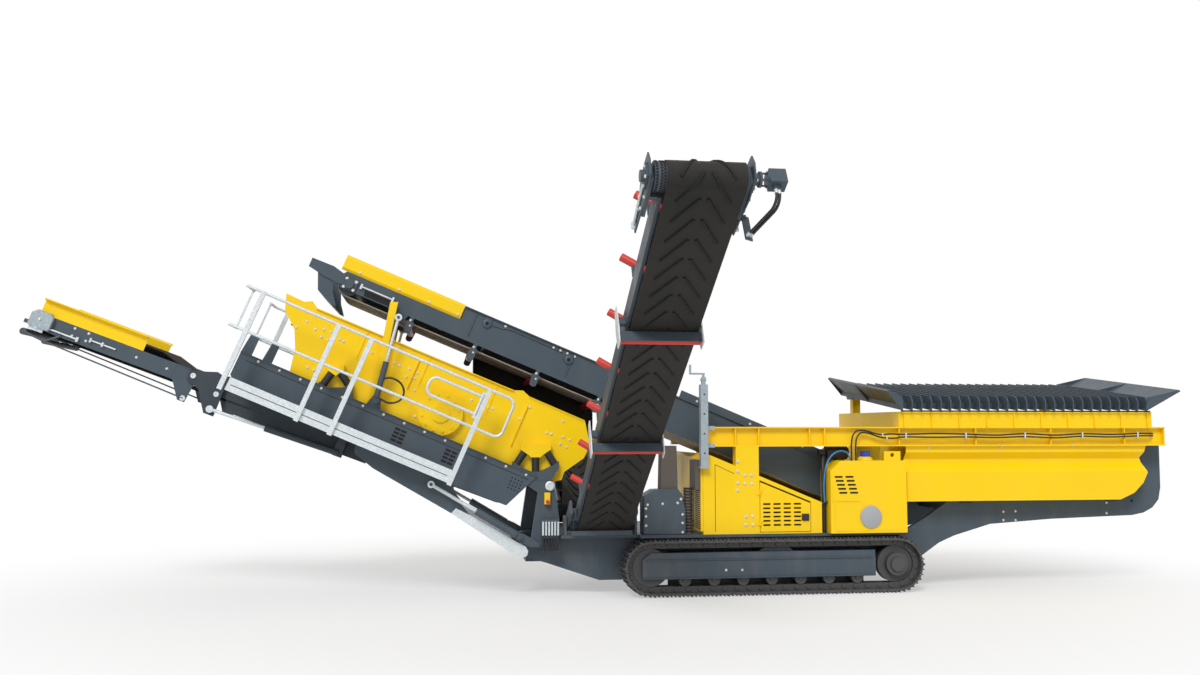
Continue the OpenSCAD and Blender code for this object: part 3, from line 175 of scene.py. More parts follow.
# Worn steel that runs on the ground or under stone: dark oxide, rubbed bright patches, caked pale dust.
def worn_steel(name, oxide, rubbed, cake, caking):
    material, tree, shader, place = start(name)
    rub = add(tree, "TexNoise", {"Vector": place, "Scale": per_metre(120), "Detail": 7.0, "Roughness": 0.7})
    bare = add(tree, "MapRange", {"Value": rub.outputs["Fac"], "From Min": 0.42, "From Max": 0.66})
    tone = add(tree, "Mix", {0: bare.outputs["Result"], 6: shade(oxide), 7: shade(rubbed)}, data_type="RGBA")
    clod = add(tree, "TexNoise", {"Vector": place, "Scale": per_metre(60), "Detail": 9.0, "Roughness": 0.75})
    held = add(tree, "MapRange", {"Value": clod.outputs["Fac"], "From Min": 0.5, "From Max": 0.72, "To Max": caking})
    dusty = add(tree, "Mix", {0: held.outputs["Result"], 6: tone.outputs[2], 7: shade(cake)}, data_type="RGBA")
    rough = add(tree, "MapRange", {"Value": clod.outputs["Fac"], "To Min": 0.42, "To Max": 0.85})
    bump = add(tree, "Bump", {"Height": clod.outputs["Fac"], "Strength": 0.35, "Distance": 0.005})
    fill(tree, shader, {"Base Color": dusty.outputs[2], "Roughness": rough.outputs["Result"],
                        "Normal": bump.outputs["Normal"], "Metallic": 0.35})
    return material


# Moulded plastic or rubber trim: one deep colour with a fine spark-eroded texture that breaks the gloss.
def moulded_trim(name, colour, gloss):
    material, tree, shader, place = start(name)
    haze = add(tree, "TexNoise", {"Vector": place, "Scale": per_metre(150), "Detail": 3.0})
    tone = add(tree, "Mix", {0: haze.outputs["Fac"], 6: shade(colour, 0.8), 7: shade(colour, 1.3)}, data_type="RGBA")
    rough = add(tree, "MapRange", {"Value": haze.outputs["Fac"], "To Min": gloss, "To Max": gloss + 0.2})
    # Mould texture is under 1 mm; drawn at 9 mm so that it breaks the highlight.
    grain = add(tree, "TexNoise", {"Vector": place, "Scale": per_metre(9), "Detail": 4.0})
    bump = add(tree, "Bump", {"Height": grain.outputs["Fac"], "Strength": 0.15, "Distance": 0.001})
    fill(tree, shader, {"Base Color": tone.outputs[2], "Roughness": rough.outputs["Result"],
                        "Normal": bump.outputs["Normal"]})
    return material


# Places

def slope_frame(x, z, degrees):
    """A frame that falls towards +X: u runs down the slope, v along Y, w square off the slope."""
    a = math.radians(degrees)
    rows = np.array([[math.cos(a), 0, -math.sin(a)], [0, 1, 0], [math.sin(a), 0, math.cos(a)]])
    return rows, np.array([x, 0, z])


def side_frame(way, degrees):
    """A side conveyor's frame: u up the belt, v along +X, w square off it; way is -1 near, 1 far."""
    a = math.radians(degrees)
    rows = np.array([[0, way * math.cos(a), math.sin(a)], [1, 0, 0], [0, -way * math.sin(a), math.cos(a)]])
    return rows, np.array([-0.35, way * 0.9, 0.965])


WORLD = (np.eye(3), np.zeros(3))
SCREEN = slope_frame(-4.42, 3.89, 23.0)
MAIN = slope_frame(-4.000, 4.04, 22.5)
FINES = slope_frame(-5.57, 2.84, 20.7)
# Each side conveyor: name, frame, body, distance between its drums, and whether its frame is left-handed.
SIDES = (("near", side_frame(-1, 30.0), "near_conveyor", 6.64, False),
         ("far", side_frame(1, 23.4), "far_conveyor", 6.46, True))
# Side belts: drum radius with belt, belt width, trough angle, length over which it eases in, and shift along X.
BELT_RADIUS, BELT_WIDTH, TROUGH, TROUGH_EASE, BELT_SHIFT = 0.14, 0.69, 35.0, 0.45, 0.045
# Directions of a shape that faces -Y, of one that faces +Y, and of one that faces -X.
TO_NEAR = np.array([[1.0, 0.0, 0.0], [0.0, 0.0, 1.0], [0.0, -1.0, 0.0]])
TO_FAR = np.array([[1.0, 0.0, 0.0], [0.0, 0.0, 1.0], [0.0, 1.0, 0.0]])
TO_TAIL = np.array([[0.0, -1.0, 0.0], [0.0, 0.0, 1.0], [-1.0, 0.0, 0.0]])
# Flanks that carry trim: a frame, and the distance of the outer face from the middle plane.
SCREEN_PLATE, EXCITER, SKIRT, TOE_BOARD = (SCREEN, 0.815), (SCREEN, 0.89), (SCREEN, 0.95), (SCREEN, 1.255)
MAIN_PLATE, MAIN_HEAD, MAIN_COVER = (MAIN, 0.72), (MAIN, 0.744), (MAIN, 0.745)
TAIL_PLATE, LINK, INNER_LINK = (FINES, 0.66), (FINES, 0.72), (FINES, 0.685)
HOUSE, TANK, HOPPER, ARM = (WORLD, 1.15), (WORLD, 1.258), (WORLD, 1.1), (WORLD, 0.84)
TOWER, TRACK_FRAME = (WORLD, 0.93), (WORLD, 1.19)


def put(place, uvw):
    """Points of a frame in the row frame: origin + u, v and w along the frame's three directions."""
    return np.asarray(uvw, float) @ place[0] + place[1]


def at_depth(uw, v):
    """Points (u, v, w) from pairs (u, w) and one v."""
    uw = np.asarray(uw, float).reshape(-1, 2)
    return np.stack([uw[:, 0], np.full(len(uw), v), uw[:, 1]], -1)


def between(a, b, count=3):
    """Evenly spaced points from one to another, both ends included."""
    return np.linspace(np.asarray(a, float), np.asarray(b, float), count)


def mirrored(points):
    """The same points on the far side: y changes sign."""
    return np.asarray(points, float) * np.array([1.0, -1.0, 1.0])


def grid(first, second):
    """All pairs of two rows of numbers."""
    a, b = np.meshgrid(first, second, indexing="ij")
    return np.stack([a.ravel(), b.ravel()], -1)


# Shapes: each is a pair of points and lists of faces

def grid_quads(rows, count, closed=True):
    """Quads between neighbouring rows of points, each row closed to a ring or open."""
    i, j = np.meshgrid(np.arange(rows - 1) * count, np.arange(count if closed else count - 1), indexing="ij")
    a, b = i + j, i + (j + 1) % count
    return np.stack([a, b, b + count, a + count], -1).reshape(-1, 4)


def turned(radii, heights, sides):
    """Surface of revolution: ring i has radius radii[i] at height heights[i]; a flat face closes the last ring."""
    angle = np.arange(sides) / sides * 2 * np.pi
    flat = np.asarray(radii)[:, None, None] * np.stack([np.cos(angle), np.sin(angle)], -1)[None]
    tall = np.broadcast_to(np.asarray(heights, float)[:, None, None], flat.shape[:2] + (1,))
    cap = (len(radii) - 1) * sides + np.arange(sides)
    return np.concatenate([flat, tall], -1).reshape(-1, 3), [grid_quads(len(radii), sides), cap[None]]


def carried(outline, depth, chamfer):
    """A raised plate: a closed outline carried up by depth, drawn in by the chamfer at the top and closed there."""
    outline = np.asarray(outline, float)
    count = len(outline)
    before = outline - np.roll(outline, 1, 0)
    after = np.roll(outline, -1, 0) - outline
    mean = before / np.linalg.norm(before, axis=1)[:, None] + after / np.linalg.norm(after, axis=1)[:, None]
    inward = np.stack([-mean[:, 1], mean[:, 0]], -1)
    inward /= np.maximum(np.linalg.norm(inward, axis=1), 1e-9)[:, None]
    rings = [np.c_[outline, np.zeros(count)], np.c_[outline, np.full(count, depth - chamfer)],
             np.c_[outline + inward * chamfer, np.full(count, depth)]]
    return np.concatenate(rings), [grid_quads(3, count), (2 * count + np.arange(count))[None]]


def panel(width, height, depth, chamfer=0.004):
    """A chamfered rectangle about its middle."""
    a, b = width / 2, height / 2
    return carried([[-a, -b], [a, -b], [a, b], [-a, b]], depth, chamfer)


def bolt_head(width):
    """A hexagon head on a washer: washer 1.25, head 1 and top 0.8 of the half width, about as tall as that."""
    r = width / 2
    return turned([r * 1.25, r * 1.25, r, r, r * 0.8], [0.0, r * 0.2, r * 0.2, r * 0.75, r * 0.95], 6)


def tube(path, radius, sides=8):
    """A round section carried along a path, square to its tangent, with both ends closed."""
    path = np.asarray(path, float)
    tangent = np.gradient(path, axis=0)
    tangent /= np.linalg.norm(tangent, axis=1)[:, None]
    spread = np.ptp(tangent, axis=0) + np.abs(tangent).mean(0)
    across = np.cross(tangent, np.eye(3)[int(np.argmin(spread))])
    across /= np.linalg.norm(across, axis=1)[:, None]
    other = np.cross(tangent, across)
    angle = np.arange(sides) / sides * 2 * np.pi
    ring = np.cos(angle)[None, :, None] * across[:, None] + np.sin(angle)[None, :, None] * other[:, None]
    first = np.arange(sides)[::-1][None]
    last = ((len(path) - 1) * sides + np.arange(sides))[None]
    return (path[:, None] + radius * ring).reshape(-1, 3), [grid_quads(len(path), sides), first, last]


def both_tubes(path, radius, sides=8):
    """A tube along a path and its copy on the far side."""
    return [tube(path, radius, sides), tube(mirrored(path), radius, sides)]


def flowing(points, steps=8):
    """A smooth path through points: on each span the Catmull-Rom cubic, whose end slopes are half the chord between
    the points on either side; beyond the ends the first and last spans are carried on."""
    p = np.asarray(points, float)
    p = np.concatenate([2 * p[:1] - p[1:2], p, 2 * p[-1:] - p[-2:-1]])
    t = (np.arange(steps) / steps)[None, :, None]
    a, b, c, d = p[:-3, None], p[1:-2, None], p[2:-1, None], p[3:, None]
    run = 0.5 * (2 * b + (c - a) * t + (2 * a - 5 * b + 4 * c - d) * t ** 2 + (3 * b - a - 3 * c + d) * t ** 3)
    return np.concatenate([run.reshape(-1, 3), p[-2:-1]])


def scatter(shape, centres, rows, flip=False):
    """Copies of a shape at each centre: centre + local points along the given directions (one set, or one each)."""
    points, faces = shape
    centres = np.asarray(centres, float).reshape(-1, 3)
    rows = np.broadcast_to(np.asarray(rows, float), (len(centres), 3, 3))
    all_points = centres[:, None, :] + np.einsum("kj,njl->nkl", points, rows)
    step = (np.arange(len(centres)) * len(points))[:, None, None]
    joined = [(f[None] + step).reshape(-1, f.shape[-1]) for f in faces]
    if flip:
        joined = [f[:, ::-1] for f in joined]
    return all_points.reshape(-1, 3), joined


def on_flanks(shape, uw, flank):
    """Copies of a shape on both flanks of a frame: at (u, -v, w) facing -Y, and mirrored facing +Y."""
    place, v = flank
    near = put(place, at_depth(uw, -v))
    rows = np.array([place[0][0], place[0][2], [0.0, -1.0, 0.0]])
    return [scatter(shape, near, rows), scatter(shape, mirrored(near), mirrored(rows), flip=True)]


def belt_surface(s, y, h, length):
    """Points (u, v, w) over a belt's outer face: s runs along the return strand, round the head drum, back along
    the carrying strand and round the foot drum. On the carrying strand the outer thirds lift by the trough angle."""
    arc = np.pi * BELT_RADIUS
    s = np.mod(s, 2 * length + 2 * arc)
    back = s - length - arc
    head = np.clip((s - length) / BELT_RADIUS, 0, np.pi) - np.pi / 2
    foot = np.clip((s - 2 * length - arc) / BELT_RADIUS, 0, np.pi) + np.pi / 2
    flat = BELT_WIDTH * 0.19
    over = np.maximum(np.abs(y) - flat, 0)
    angle = math.radians(TROUGH) * np.clip(np.minimum(back, length - back) / TROUGH_EASE, 0, 1)
    bent = np.sign(y) * (np.minimum(np.abs(y), flat) + over * np.cos(angle) - h * np.sin(angle) * (over > 0))
    lift = over * np.sin(angle) + h * np.where(over > 0, np.cos(angle), 1.0)
    where = [s < length, s < length + arc, s < 2 * length + arc]
    reach = BELT_RADIUS + h
    u = np.select(where, [s, length + reach * np.cos(head), length - back], reach * np.cos(foot))
    w = np.select(where, [-BELT_RADIUS - h, reach * np.sin(head), BELT_RADIUS + lift], reach * np.sin(foot))
    v = np.select([where[2] & ~where[1]], [bent], y)
    return np.stack([u, v, w], -1)


def chevron_ribs(place, length, pitch, flip):
    """Pairs of ribs in a V round a belt: a trapezoid carried along each arm, then laid over the belt's face."""
    total = 2 * length + 2 * np.pi * BELT_RADIUS
    count, steps = int(total / pitch), 9
    apex = np.arange(count)[:, None, None, None] * (total / count)
    way = np.array([-1.0, 1.0])[:, None, None]
    arm = np.linspace(0.0, 1.0, steps)[:, None]
    across = np.array([-0.014, -0.009, 0.009, 0.014])
    rise = np.array([0.0, 0.016, 0.016, 0.0])
    reach, spread, gap = 0.315, 0.2, 0.034
    span = math.hypot(reach, spread)
    s = apex - arm * reach + across * spread / span
    y = way * (gap + arm * spread + across * reach / span)
    uvw = belt_surface(*np.broadcast_arrays(s, y, rise), length)
    uvw[..., 1] += BELT_SHIFT
    corners = len(across)
    ring = np.arange(corners)
    ends = np.array([ring[::-1], (steps - 1) * corners + ring])
    one = np.concatenate([grid_quads(steps, corners, False), ends])
    start = (np.arange(count * 2) * steps * corners).reshape(count, 2)
    left = (one[None] + start[:, :1, None]).reshape(-1, 4)
    right = (one[None, :, ::-1] + start[:, 1:, None]).reshape(-1, 4)
    if flip:
        left, right = left[:, ::-1], right[:, ::-1]
    return put(place, uvw).reshape(-1, 3), [left, right]


def woven_wires(place, u0, u1, half, w, pitch, radius):
    """Two sets of wires over and under each other: square sections carried along zigzag lines half a pitch long."""
    lines, steps = int(2 * half / pitch), int((u1 - u0) / pitch)
    y = (np.arange(lines) - (lines - 1) / 2) * pitch
    u = u0 + (np.arange(steps) + 0.5) * pitch
    corner = np.array([[-1, -1], [1, -1], [1, 1], [-1, 1]]) * radius * 0.8
    parts = []
    for along, over, first in ((u, y, True), (y, u, False)):
        n, m = len(over), len(along)
        lift = radius * 0.9 * (-1.0) ** (np.arange(n)[:, None] + np.arange(m) + (0 if first else 1))
        run = np.broadcast_to(along[None, :, None], (n, m, 4))
        side = np.broadcast_to(over[:, None, None] + corner[:, 0], run.shape)
        tall = w + lift[..., None] + corner[:, 1]
        uvw = np.stack([run, side, tall] if first else [side, run, tall], -1)
        quads = (grid_quads(m, 4) + np.arange(n)[:, None, None] * m * 4).reshape(-1, 4)
        parts.append((put(place, uvw.reshape(-1, 3)), [quads[:, ::-1] if first else quads]))
    return parts


def make(name, look, parts, body="base", smooth=None):
    """Joins (points, faces) pairs into one mesh at the origin that has a look and rides on a body."""
    material, slot = look
    points, faces, used = [], [], 0
    for part_points, part_faces in parts:
        points.append(part_points)
        faces.extend(row for f in part_faces for row in (f + used).tolist())
        used += len(part_points)
    mesh = bpy.data.meshes.new(name)
    mesh.from_pydata(np.concatenate(points).tolist(), [], faces)
    mesh.materials.append(finish(material))
    if smooth is not None:
        mesh.shade_smooth()
        mesh.set_sharp_from_angle(angle=math.radians(smooth))
    mesh.update()
    made = bpy.data.objects.new(name, mesh)
    bpy.context.scene.collection.objects.link(made)
    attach(made, body)
    return made


def trim(name, look, *layers, first=(), body="base", smooth=None):
    """A piece on both flanks: each layer is a shape, its places (u, w) and the flank that carries it."""
    parts = list(first) + [part for layer in layers for part in on_flanks(*layer)]
    return make(name, look, parts, body, smooth)


def rods(place, a, b, radius, sides, count=3):
    """Straight round bars between two points of a frame, and the same on the far side."""
    return both_tubes(put(place, between(a, b, count)), radius, sides)


# Values that a user would change

def tint(name, description, code):
    """A colour property whose default is an sRGB hex code."""
    return FloatVectorProperty(name=name, description=description, size=3, subtype="COLOR",
                               default=linear(code)[:3])


def length(name, description, metres):
    """A length property."""
    return FloatProperty(name=name, description=description, default=metres, unit="LENGTH")


class PlantColours(bpy.types.PropertyGroup):
    """Paint and material colours."""
    yellow: tint("Yellow", "Enamel of the hopper, house and screen", "F6CC00")
    slate: tint("Slate", "Enamel of the frames", "434F59")
    red: tint("Red", "Enamel of the rollers", "CC3B30")
    zinc: tint("Zinc", "Galvanised plates and rails", "E8EDEF")
    dust: tint("Dust", "Dry stone dust", "A39A8B")
    cap: tint("Cap", "Filler caps", "2B46A6")


class PlantSizes(bpy.types.PropertyGroup):
    """Sizes of the surface detail, the lens, the lamp's strength and the number of shoes."""
    bolt: length("Bolt head", "Width of a bolt head over its corners", 0.030)
    chevron_pitch: length("Chevron pitch", "Distance between belt chevrons", 0.27)
    mesh_pitch: length("Mesh pitch", "Distance between deck wires", 0.06)
    hose: length("Hose", "Diameter of a hydraulic hose", 0.022)
    lens: FloatProperty(name="Lens", description="Focal length on a 36 mm wide sensor", default=34.5, unit="CAMERA")
    sun: FloatProperty(name="Sun", description="Strength of the main lamp", default=1.9)
    shoes: IntProperty(name="Shoes", description="Shoes on each track", default=52)


def finish(name):
    """A finish by name, made once from the scene's colours and then shared."""
    have = bpy.data.materials.get(name)
    if have:
        return have
    hue = bpy.context.scene.plant_colours
    maker, *values = {
        "yellow_enamel": (sprayed_enamel, hue.yellow, hue.dust, 0.30, 0.10),
        "slate_enamel": (sprayed_enamel, hue.slate, hue.dust, 0.38, 0.16),
        # Slate darkened to 0.55 of itself: painted shade, for the frame and rams that stand in the shade under the
        # walkway.
        "shaded_slate_enamel": (sprayed_enamel, shade(hue.slate, 0.55), hue.dust, 0.45, 0.16),
        "red_enamel": (sprayed_enamel, hue.red, hue.dust, 0.34, 0.20),
        "grey_enamel": (sprayed_enamel, "A3A5AA", hue.dust, 0.40, 0.10),
        "heat_browned_enamel": (sprayed_enamel, "5E5751", "7A6C60", 0.45, 0.35, 0.4),
        "galvanised_steel": (hot_dip_zinc, hue.zinc, "C8D0D4"),
        "dull_galvanised_steel": (hot_dip_zinc, "B7C2C7", "97A4AB"),
        "zinc_plated_bolt": (hot_dip_zinc, "F0EFEA", "D2D0C8"),
        "conveyor_rubber": (vulcanised_rubber, "171614", "3E3933", 0.35, 60),
        # Chevrons darker and less dusty than the belt: black rubber, with painted shade on the ribs.
        "chevron_rubber": (vulcanised_rubber, "0C0B0B", "2A2622", 0.25, 40),
        # Main and feeder belts: dust, and a base far paler than dust, painted light that lifts the underside out of its
        # shade; the strand above the level is darkened as painted shade on the top that the lamps light.
        "dusted_conveyor_rubber": (vulcanised_rubber, "C8BFB2", "E4DCCF", 0.95, 90,
                                   (tuple(MAIN[0][2]), 2.355, "46413B")),
        "track_steel": (worn_steel, "2A2B2D", "6E7073", "A99E8C", 0.40),
        "deck_steel": (worn_steel, "2A2826", "4A4743", "8A8072", 0.6),
        "drawn_spring_wire": (worn_steel, "6F6B66", "A8A6A2", "A3988A", 0.4),
        "moulded_spring_rubber": (moulded_trim, "1C1C1D", 0.5),
        "moulded_black_plastic": (moulded_trim, "18191A", 0.38),
        "moulded_blue_cap": (moulded_trim, hue.cap, 0.35),
        # Near black: dark seams and joints, and painted shade in holes, bores, slots, vents and along the skirts' fold,
        # drawn on thin plates where the inside or the crease would be in shade.
        "dark_opening": (moulded_trim, "0D0D0E", 0.7),
        "braided_hose_rubber": (moulded_trim, "1B1B1C", 0.45),
        "blue_hose_rubber": (moulded_trim, "2E7CC0", 0.45),
    }[name]
    return maker(name, *values)


# Looks of pieces: a finish, and the record's material slot that it belongs to.
YELLOW = "yellow_enamel", "yellow_paint"
SLATE = "slate_enamel", "slate_paint"
# Slate darkened as painted shade.
SLATE_PAINTED_SHADE = "shaded_slate_enamel", "slate_paint"
RED = "red_enamel", "roller_red"
GREY = "grey_enamel", "galvanised"
BROWN = "heat_browned_enamel", "stack_paint"
ZINC = "galvanised_steel", "galvanised"
DULL_ZINC = "dull_galvanised_steel", "galvanised"
BOLT = "zinc_plated_bolt", "galvanised"
BELT = "conveyor_rubber", "belt_rubber"
CHEVRON = "chevron_rubber", "belt_rubber"
TRACK = "track_steel", "track_steel"
ROCK_GUARD = "track_steel", "slate_paint"
WIRE = "drawn_spring_wire", "deck_mesh"
RUBBER = "moulded_spring_rubber", "spring_rubber"
PLASTIC = "moulded_black_plastic", "black_plastic"
BLUE_CAP = "moulded_blue_cap", "black_plastic"
# Near black for seams and joints, and painted shade for holes, slots and the skirts' fold.
SEAM_BLACK_AND_PAINTED_SHADE = "dark_opening", "black_plastic"
HOSE = "braided_hose_rubber", "hose_rubber"
BLUE_HOSE = "blue_hose_rubber", "hose_rubber"

# Finishes of the solids, by slot and for single nodes.
SLOT_FINISH = {slot: name for name, slot in (YELLOW, SLATE, RED, BROWN, ZINC, BELT, TRACK, RUBBER, PLASTIC, HOSE)}
SLOT_FINISH.update(radiator_mesh="yellow_enamel", deck_mesh="deck_steel")
# The fines frame takes slate darkened as painted shade; the main and feeder belts take pale dusted rubber with painted
# light on the underside and painted shade on the top.
NODE_FINISH = {"fines_frame": "shaded_slate_enamel", "main_belt": "dusted_conveyor_rubber",
               "feeder_belt": "dusted_conveyor_rubber", "support_jack": "dull_galvanised_steel",
               "jack_crank": "dull_galvanised_steel"}
# The place of a plate whose outline already has its final coordinates.
AS_DRAWN = [[0.0, 0.0]]


class PLANT_OT_finish_solids(bpy.types.Operator):
    """Give every solid its finish."""
    bl_idname = "plant.finish_solids"
    bl_label = "Finish solids"

    def execute(self, context):
        for part in frame["record"]["subparts"]:
            solid = frame["nodes"][part["node"]]
            material = finish(NODE_FINISH.get(part["node"], SLOT_FINISH[part["material_slot"]]))
            if not solid.material_slots:
                solid.data.materials.append(material)
            for place in solid.material_slots:
                place.material = material
        return {"FINISHED"}


class PLANT_OT_belt_cleats(bpy.types.Operator):
    """Chevrons on the side belts and lagging on their bare drum ends."""
    bl_idname = "plant.belt_cleats"
    bl_label = "Belt cleats"

    def execute(self, context):
        pitch = context.scene.plant_sizes.chevron_pitch
        studs, drum = 28, 0.126
        angle = np.arange(studs) / studs * 2 * np.pi
        diamond = turned([0.016, 0.011], [0.0, 0.008], 4)
        for name, place, body, span, flip in SIDES:
            make(name + "_belt_chevrons", CHEVRON, [chevron_ribs(place, span, pitch, flip)], body)
            lagging = []
            for k, v in enumerate((-0.385, -0.345, -0.318)):
                turn = angle + (k % 2) * np.pi / studs
                radial = np.stack([np.cos(turn), 0 * turn, np.sin(turn)], -1)
                along = np.stack([-np.sin(turn), 0 * turn, np.cos(turn)], -1)
                axis = np.broadcast_to([0.0, 1.0, 0.0], along.shape)
                rows = np.stack([axis, along, radial], 1) @ place[0]
                for u in (0.0, span):
                    at = np.array([u, v, 0.0]) + radial * drum
                    lagging.append(scatter(diamond, put(place, at), rows, flip))
            make(name + "_drum_lagging", BELT, lagging, body)
        return {"FINISHED"}


class PLANT_OT_side_trim(bpy.types.Operator):
    """Roller stands, hose ends and head bolts of the side conveyors."""
    bl_idname = "plant.side_trim"
    bl_label = "Side conveyor trim"

    def execute(self, context):
        bolt = bolt_head(context.scene.plant_sizes.bolt)
        a = math.radians(201)
        bend = np.array([[math.cos(a), math.sin(a), 0.0], [-math.sin(a), math.cos(a), 0.0], [0.0, 0.0, 1.0]])
        bearing = [[-0.055, 0.055], [-0.055, -0.055], [0.055, 0.055], [0.055, -0.055]]
        plate = [[-0.62, 0.0], [-0.34, 0.07], [-0.34, -0.06], [-0.16, 0.12], [-0.16, -0.09]]
        for name, place, body, span, flip in SIDES:
            foot = [[u, 0.0915] for u in np.arange(0.65, span - 0.5, 0.9)]
            at = np.concatenate([at_depth(foot, v) for v in (-0.32, 0.32)])
            stands = scatter(panel(0.036, 0.038, 0.138, 0.003), put(place, at), place[0], flip)
            make(name + "_roller_stands", SLATE, [stands], body)
            motor = (bend @ place[0], put(place, [span, 0.662, 0.0]))
            ends = []
            for y in (-0.016, 0.016):
                for inner, outer in (((0, y, -0.1115), (0, y, -0.155)), ((0.42, y, -0.26), (0.4685, y, -0.26))):
                    ends.append(tube(put(motor, between(inner, outer)), 0.0165, 10))
            make(name + "_hose_ends", ZINC, ends, body, smooth=40)
            bolts = []
            for v, uw in ((0.474, bearing), (0.454, plate)):
                for out in (-1.0, 1.0):
                    at = at_depth(np.array(uw) + [span, 0.0], out * v)
                    n = out * place[0][1]
                    rows = [place[0][0], np.cross(n, place[0][0]), n]
                    bolts.append(scatter(bolt, put(place, at), rows))
            make(name + "_conveyor_bolts", BOLT, bolts, body)
        return {"FINISHED"}


class PLANT_OT_bolt_rows(bpy.types.Operator):
    """Bolts on the screen, the conveyors, the frames, the pillar and the house; the screen's ribs; the fold's pins."""
    bl_idname = "plant.bolt_rows"
    bl_label = "Bolt rows"

    def execute(self, context):
        width = context.scene.plant_sizes.bolt
        bolt, large = bolt_head(width), bolt_head(width * 1.25)
        # Huck bolts of the cross beams stand in pairs and small groups on the screen's plates.
        screen = [
            [0.28, -0.33], [0.37, -0.21], [0.51, -0.26], [0.61, -0.22], [0.71, -0.21], [0.62, -0.32], [0.71, -0.32],
            [0.85, -0.25], [0.9, -0.26], [0.62, -0.75], [0.71, -0.75], [1.29, -0.25], [1.44, -0.35], [1.61, -0.26],
            [1.68, -0.26], [1.82, -0.25], [1.93, -0.26], [1.82, -0.36], [1.93, -0.34], [1.99, -0.48], [2.13, -0.79],
            [2.72, -0.31], [2.85, -0.49], [2.96, -0.3], [3.02, -0.3], [3.39, -0.29], [3.46, -0.09], [3.8, -0.315],
            [3.86, -0.305], [3.94, -0.09], [4.02, -0.28], [4.12, -0.28], [4.02, -0.38], [4.11, -0.385]]
        trim("screen_bolts", BOLT, (bolt, screen, SCREEN_PLATE))
        ribs = [(panel(0.012, tall, 0.028, 0.003), at, SCREEN_PLATE)
                for tall, at in ((0.41, (1.89, -0.295)), (0.57, (3.425, -0.375)))]
        trim("screen_ribs", YELLOW, *ribs)
        ring = np.arange(12) / 12 * 2 * np.pi
        hub = np.stack([2.416 + 0.24 * np.cos(ring), -0.626 + 0.24 * np.sin(ring)], -1)
        trim("exciter_bolts", YELLOW, (bolt, hub, EXCITER))
        main = [
            [2.42, 0.45], [3.12, 0.44], [3.22, 0.44], [3.32, 0.44], [3.43, 0.44], [1.24, 0.03], [1.26, -0.04],
            [2.14, 0.03], [2.16, -0.04], [3.04, 0.03], [3.06, -0.04], [3.94, 0.03], [3.96, -0.04], [5.2, 0.53],
            [6.0, 0.53], [6.8, 0.53], [7.6, 0.53]]
        head = [[u, w] for w in (0.21, 0.095) for u in (0.275, 0.405)]
        cover = [[u, 0.345] for u in (0.4, 0.95, 1.37, 1.78)]
        trim("main_bolts", BOLT, (bolt, main, MAIN_PLATE), (large, head, MAIN_HEAD), (bolt, cover, MAIN_COVER))
        trim("skirt_bolts", BOLT, (bolt, between((0.05, -0.925), (3.75, -0.925), 14), SKIRT))
        box = [[0.695, 1.25], [0.65, 1.2], [0.715, 1.05], [0.715, 0.94], [0.715, 0.82], [0.228, 1.13], [0.228, 1.03],
               [0.25, 1.18], [0.45, 1.19], [0.228, 0.91]]
        make("exhaust_box_bolts", BOLT, [scatter(bolt, at_depth(box, -1.1), TO_NEAR)])
        pillar = [[1.545, 1.56], [1.635, 1.56], [1.545, 1.45], [1.635, 1.45], [1.555, 1.02], [1.645, 1.02],
                  [1.555, 0.91], [1.645, 0.91], [1.447, 1.74], [1.447, 1.61], [1.447, 1.46], [1.447, 1.36]]
        trim("pillar_bolts", BOLT, (large, pillar, HOUSE))
        arm = [[5.331, 1.02], [5.511, 1.025], [5.329, 0.903], [5.509, 0.901], [6.887, 1.13], [6.882, 0.984]]
        trim("rear_arm_bolts", BOLT, (bolt, arm, ARM))
        trim("hopper_bolts", BOLT, (bolt, [[4.138, 1.914], [5.193, 1.919], [6.247, 1.924]], HOPPER))
        trim("track_frame_bolts", BOLT, (bolt, [[1.273, 0.331], [1.489, 0.329]], TRACK_FRAME))
        tail = [[-1.58, 0.04], [-1.58, -0.06], [-1.4, 0.04], [-1.4, -0.06], [-0.75, -0.03], [-0.35, -0.03]]
        trim("tail_bolts", BOLT, (bolt, tail, TAIL_PLATE), body="tail")
        pin = turned([0.036, 0.036, 0.03, 0.012, 0.01], [0, 0.01, 0.016, 0.016, 0.01], 20)
        trim("fold_pins", ZINC, (pin, (0, 0.005), LINK), (pin, (-0.023, -0.308), INNER_LINK), body="tail", smooth=40)
        trim("link_plate_pins", ZINC, (pin, [[0.353, -0.113], [0.354, -0.315]], LINK), smooth=40)
        return {"FINISHED"}


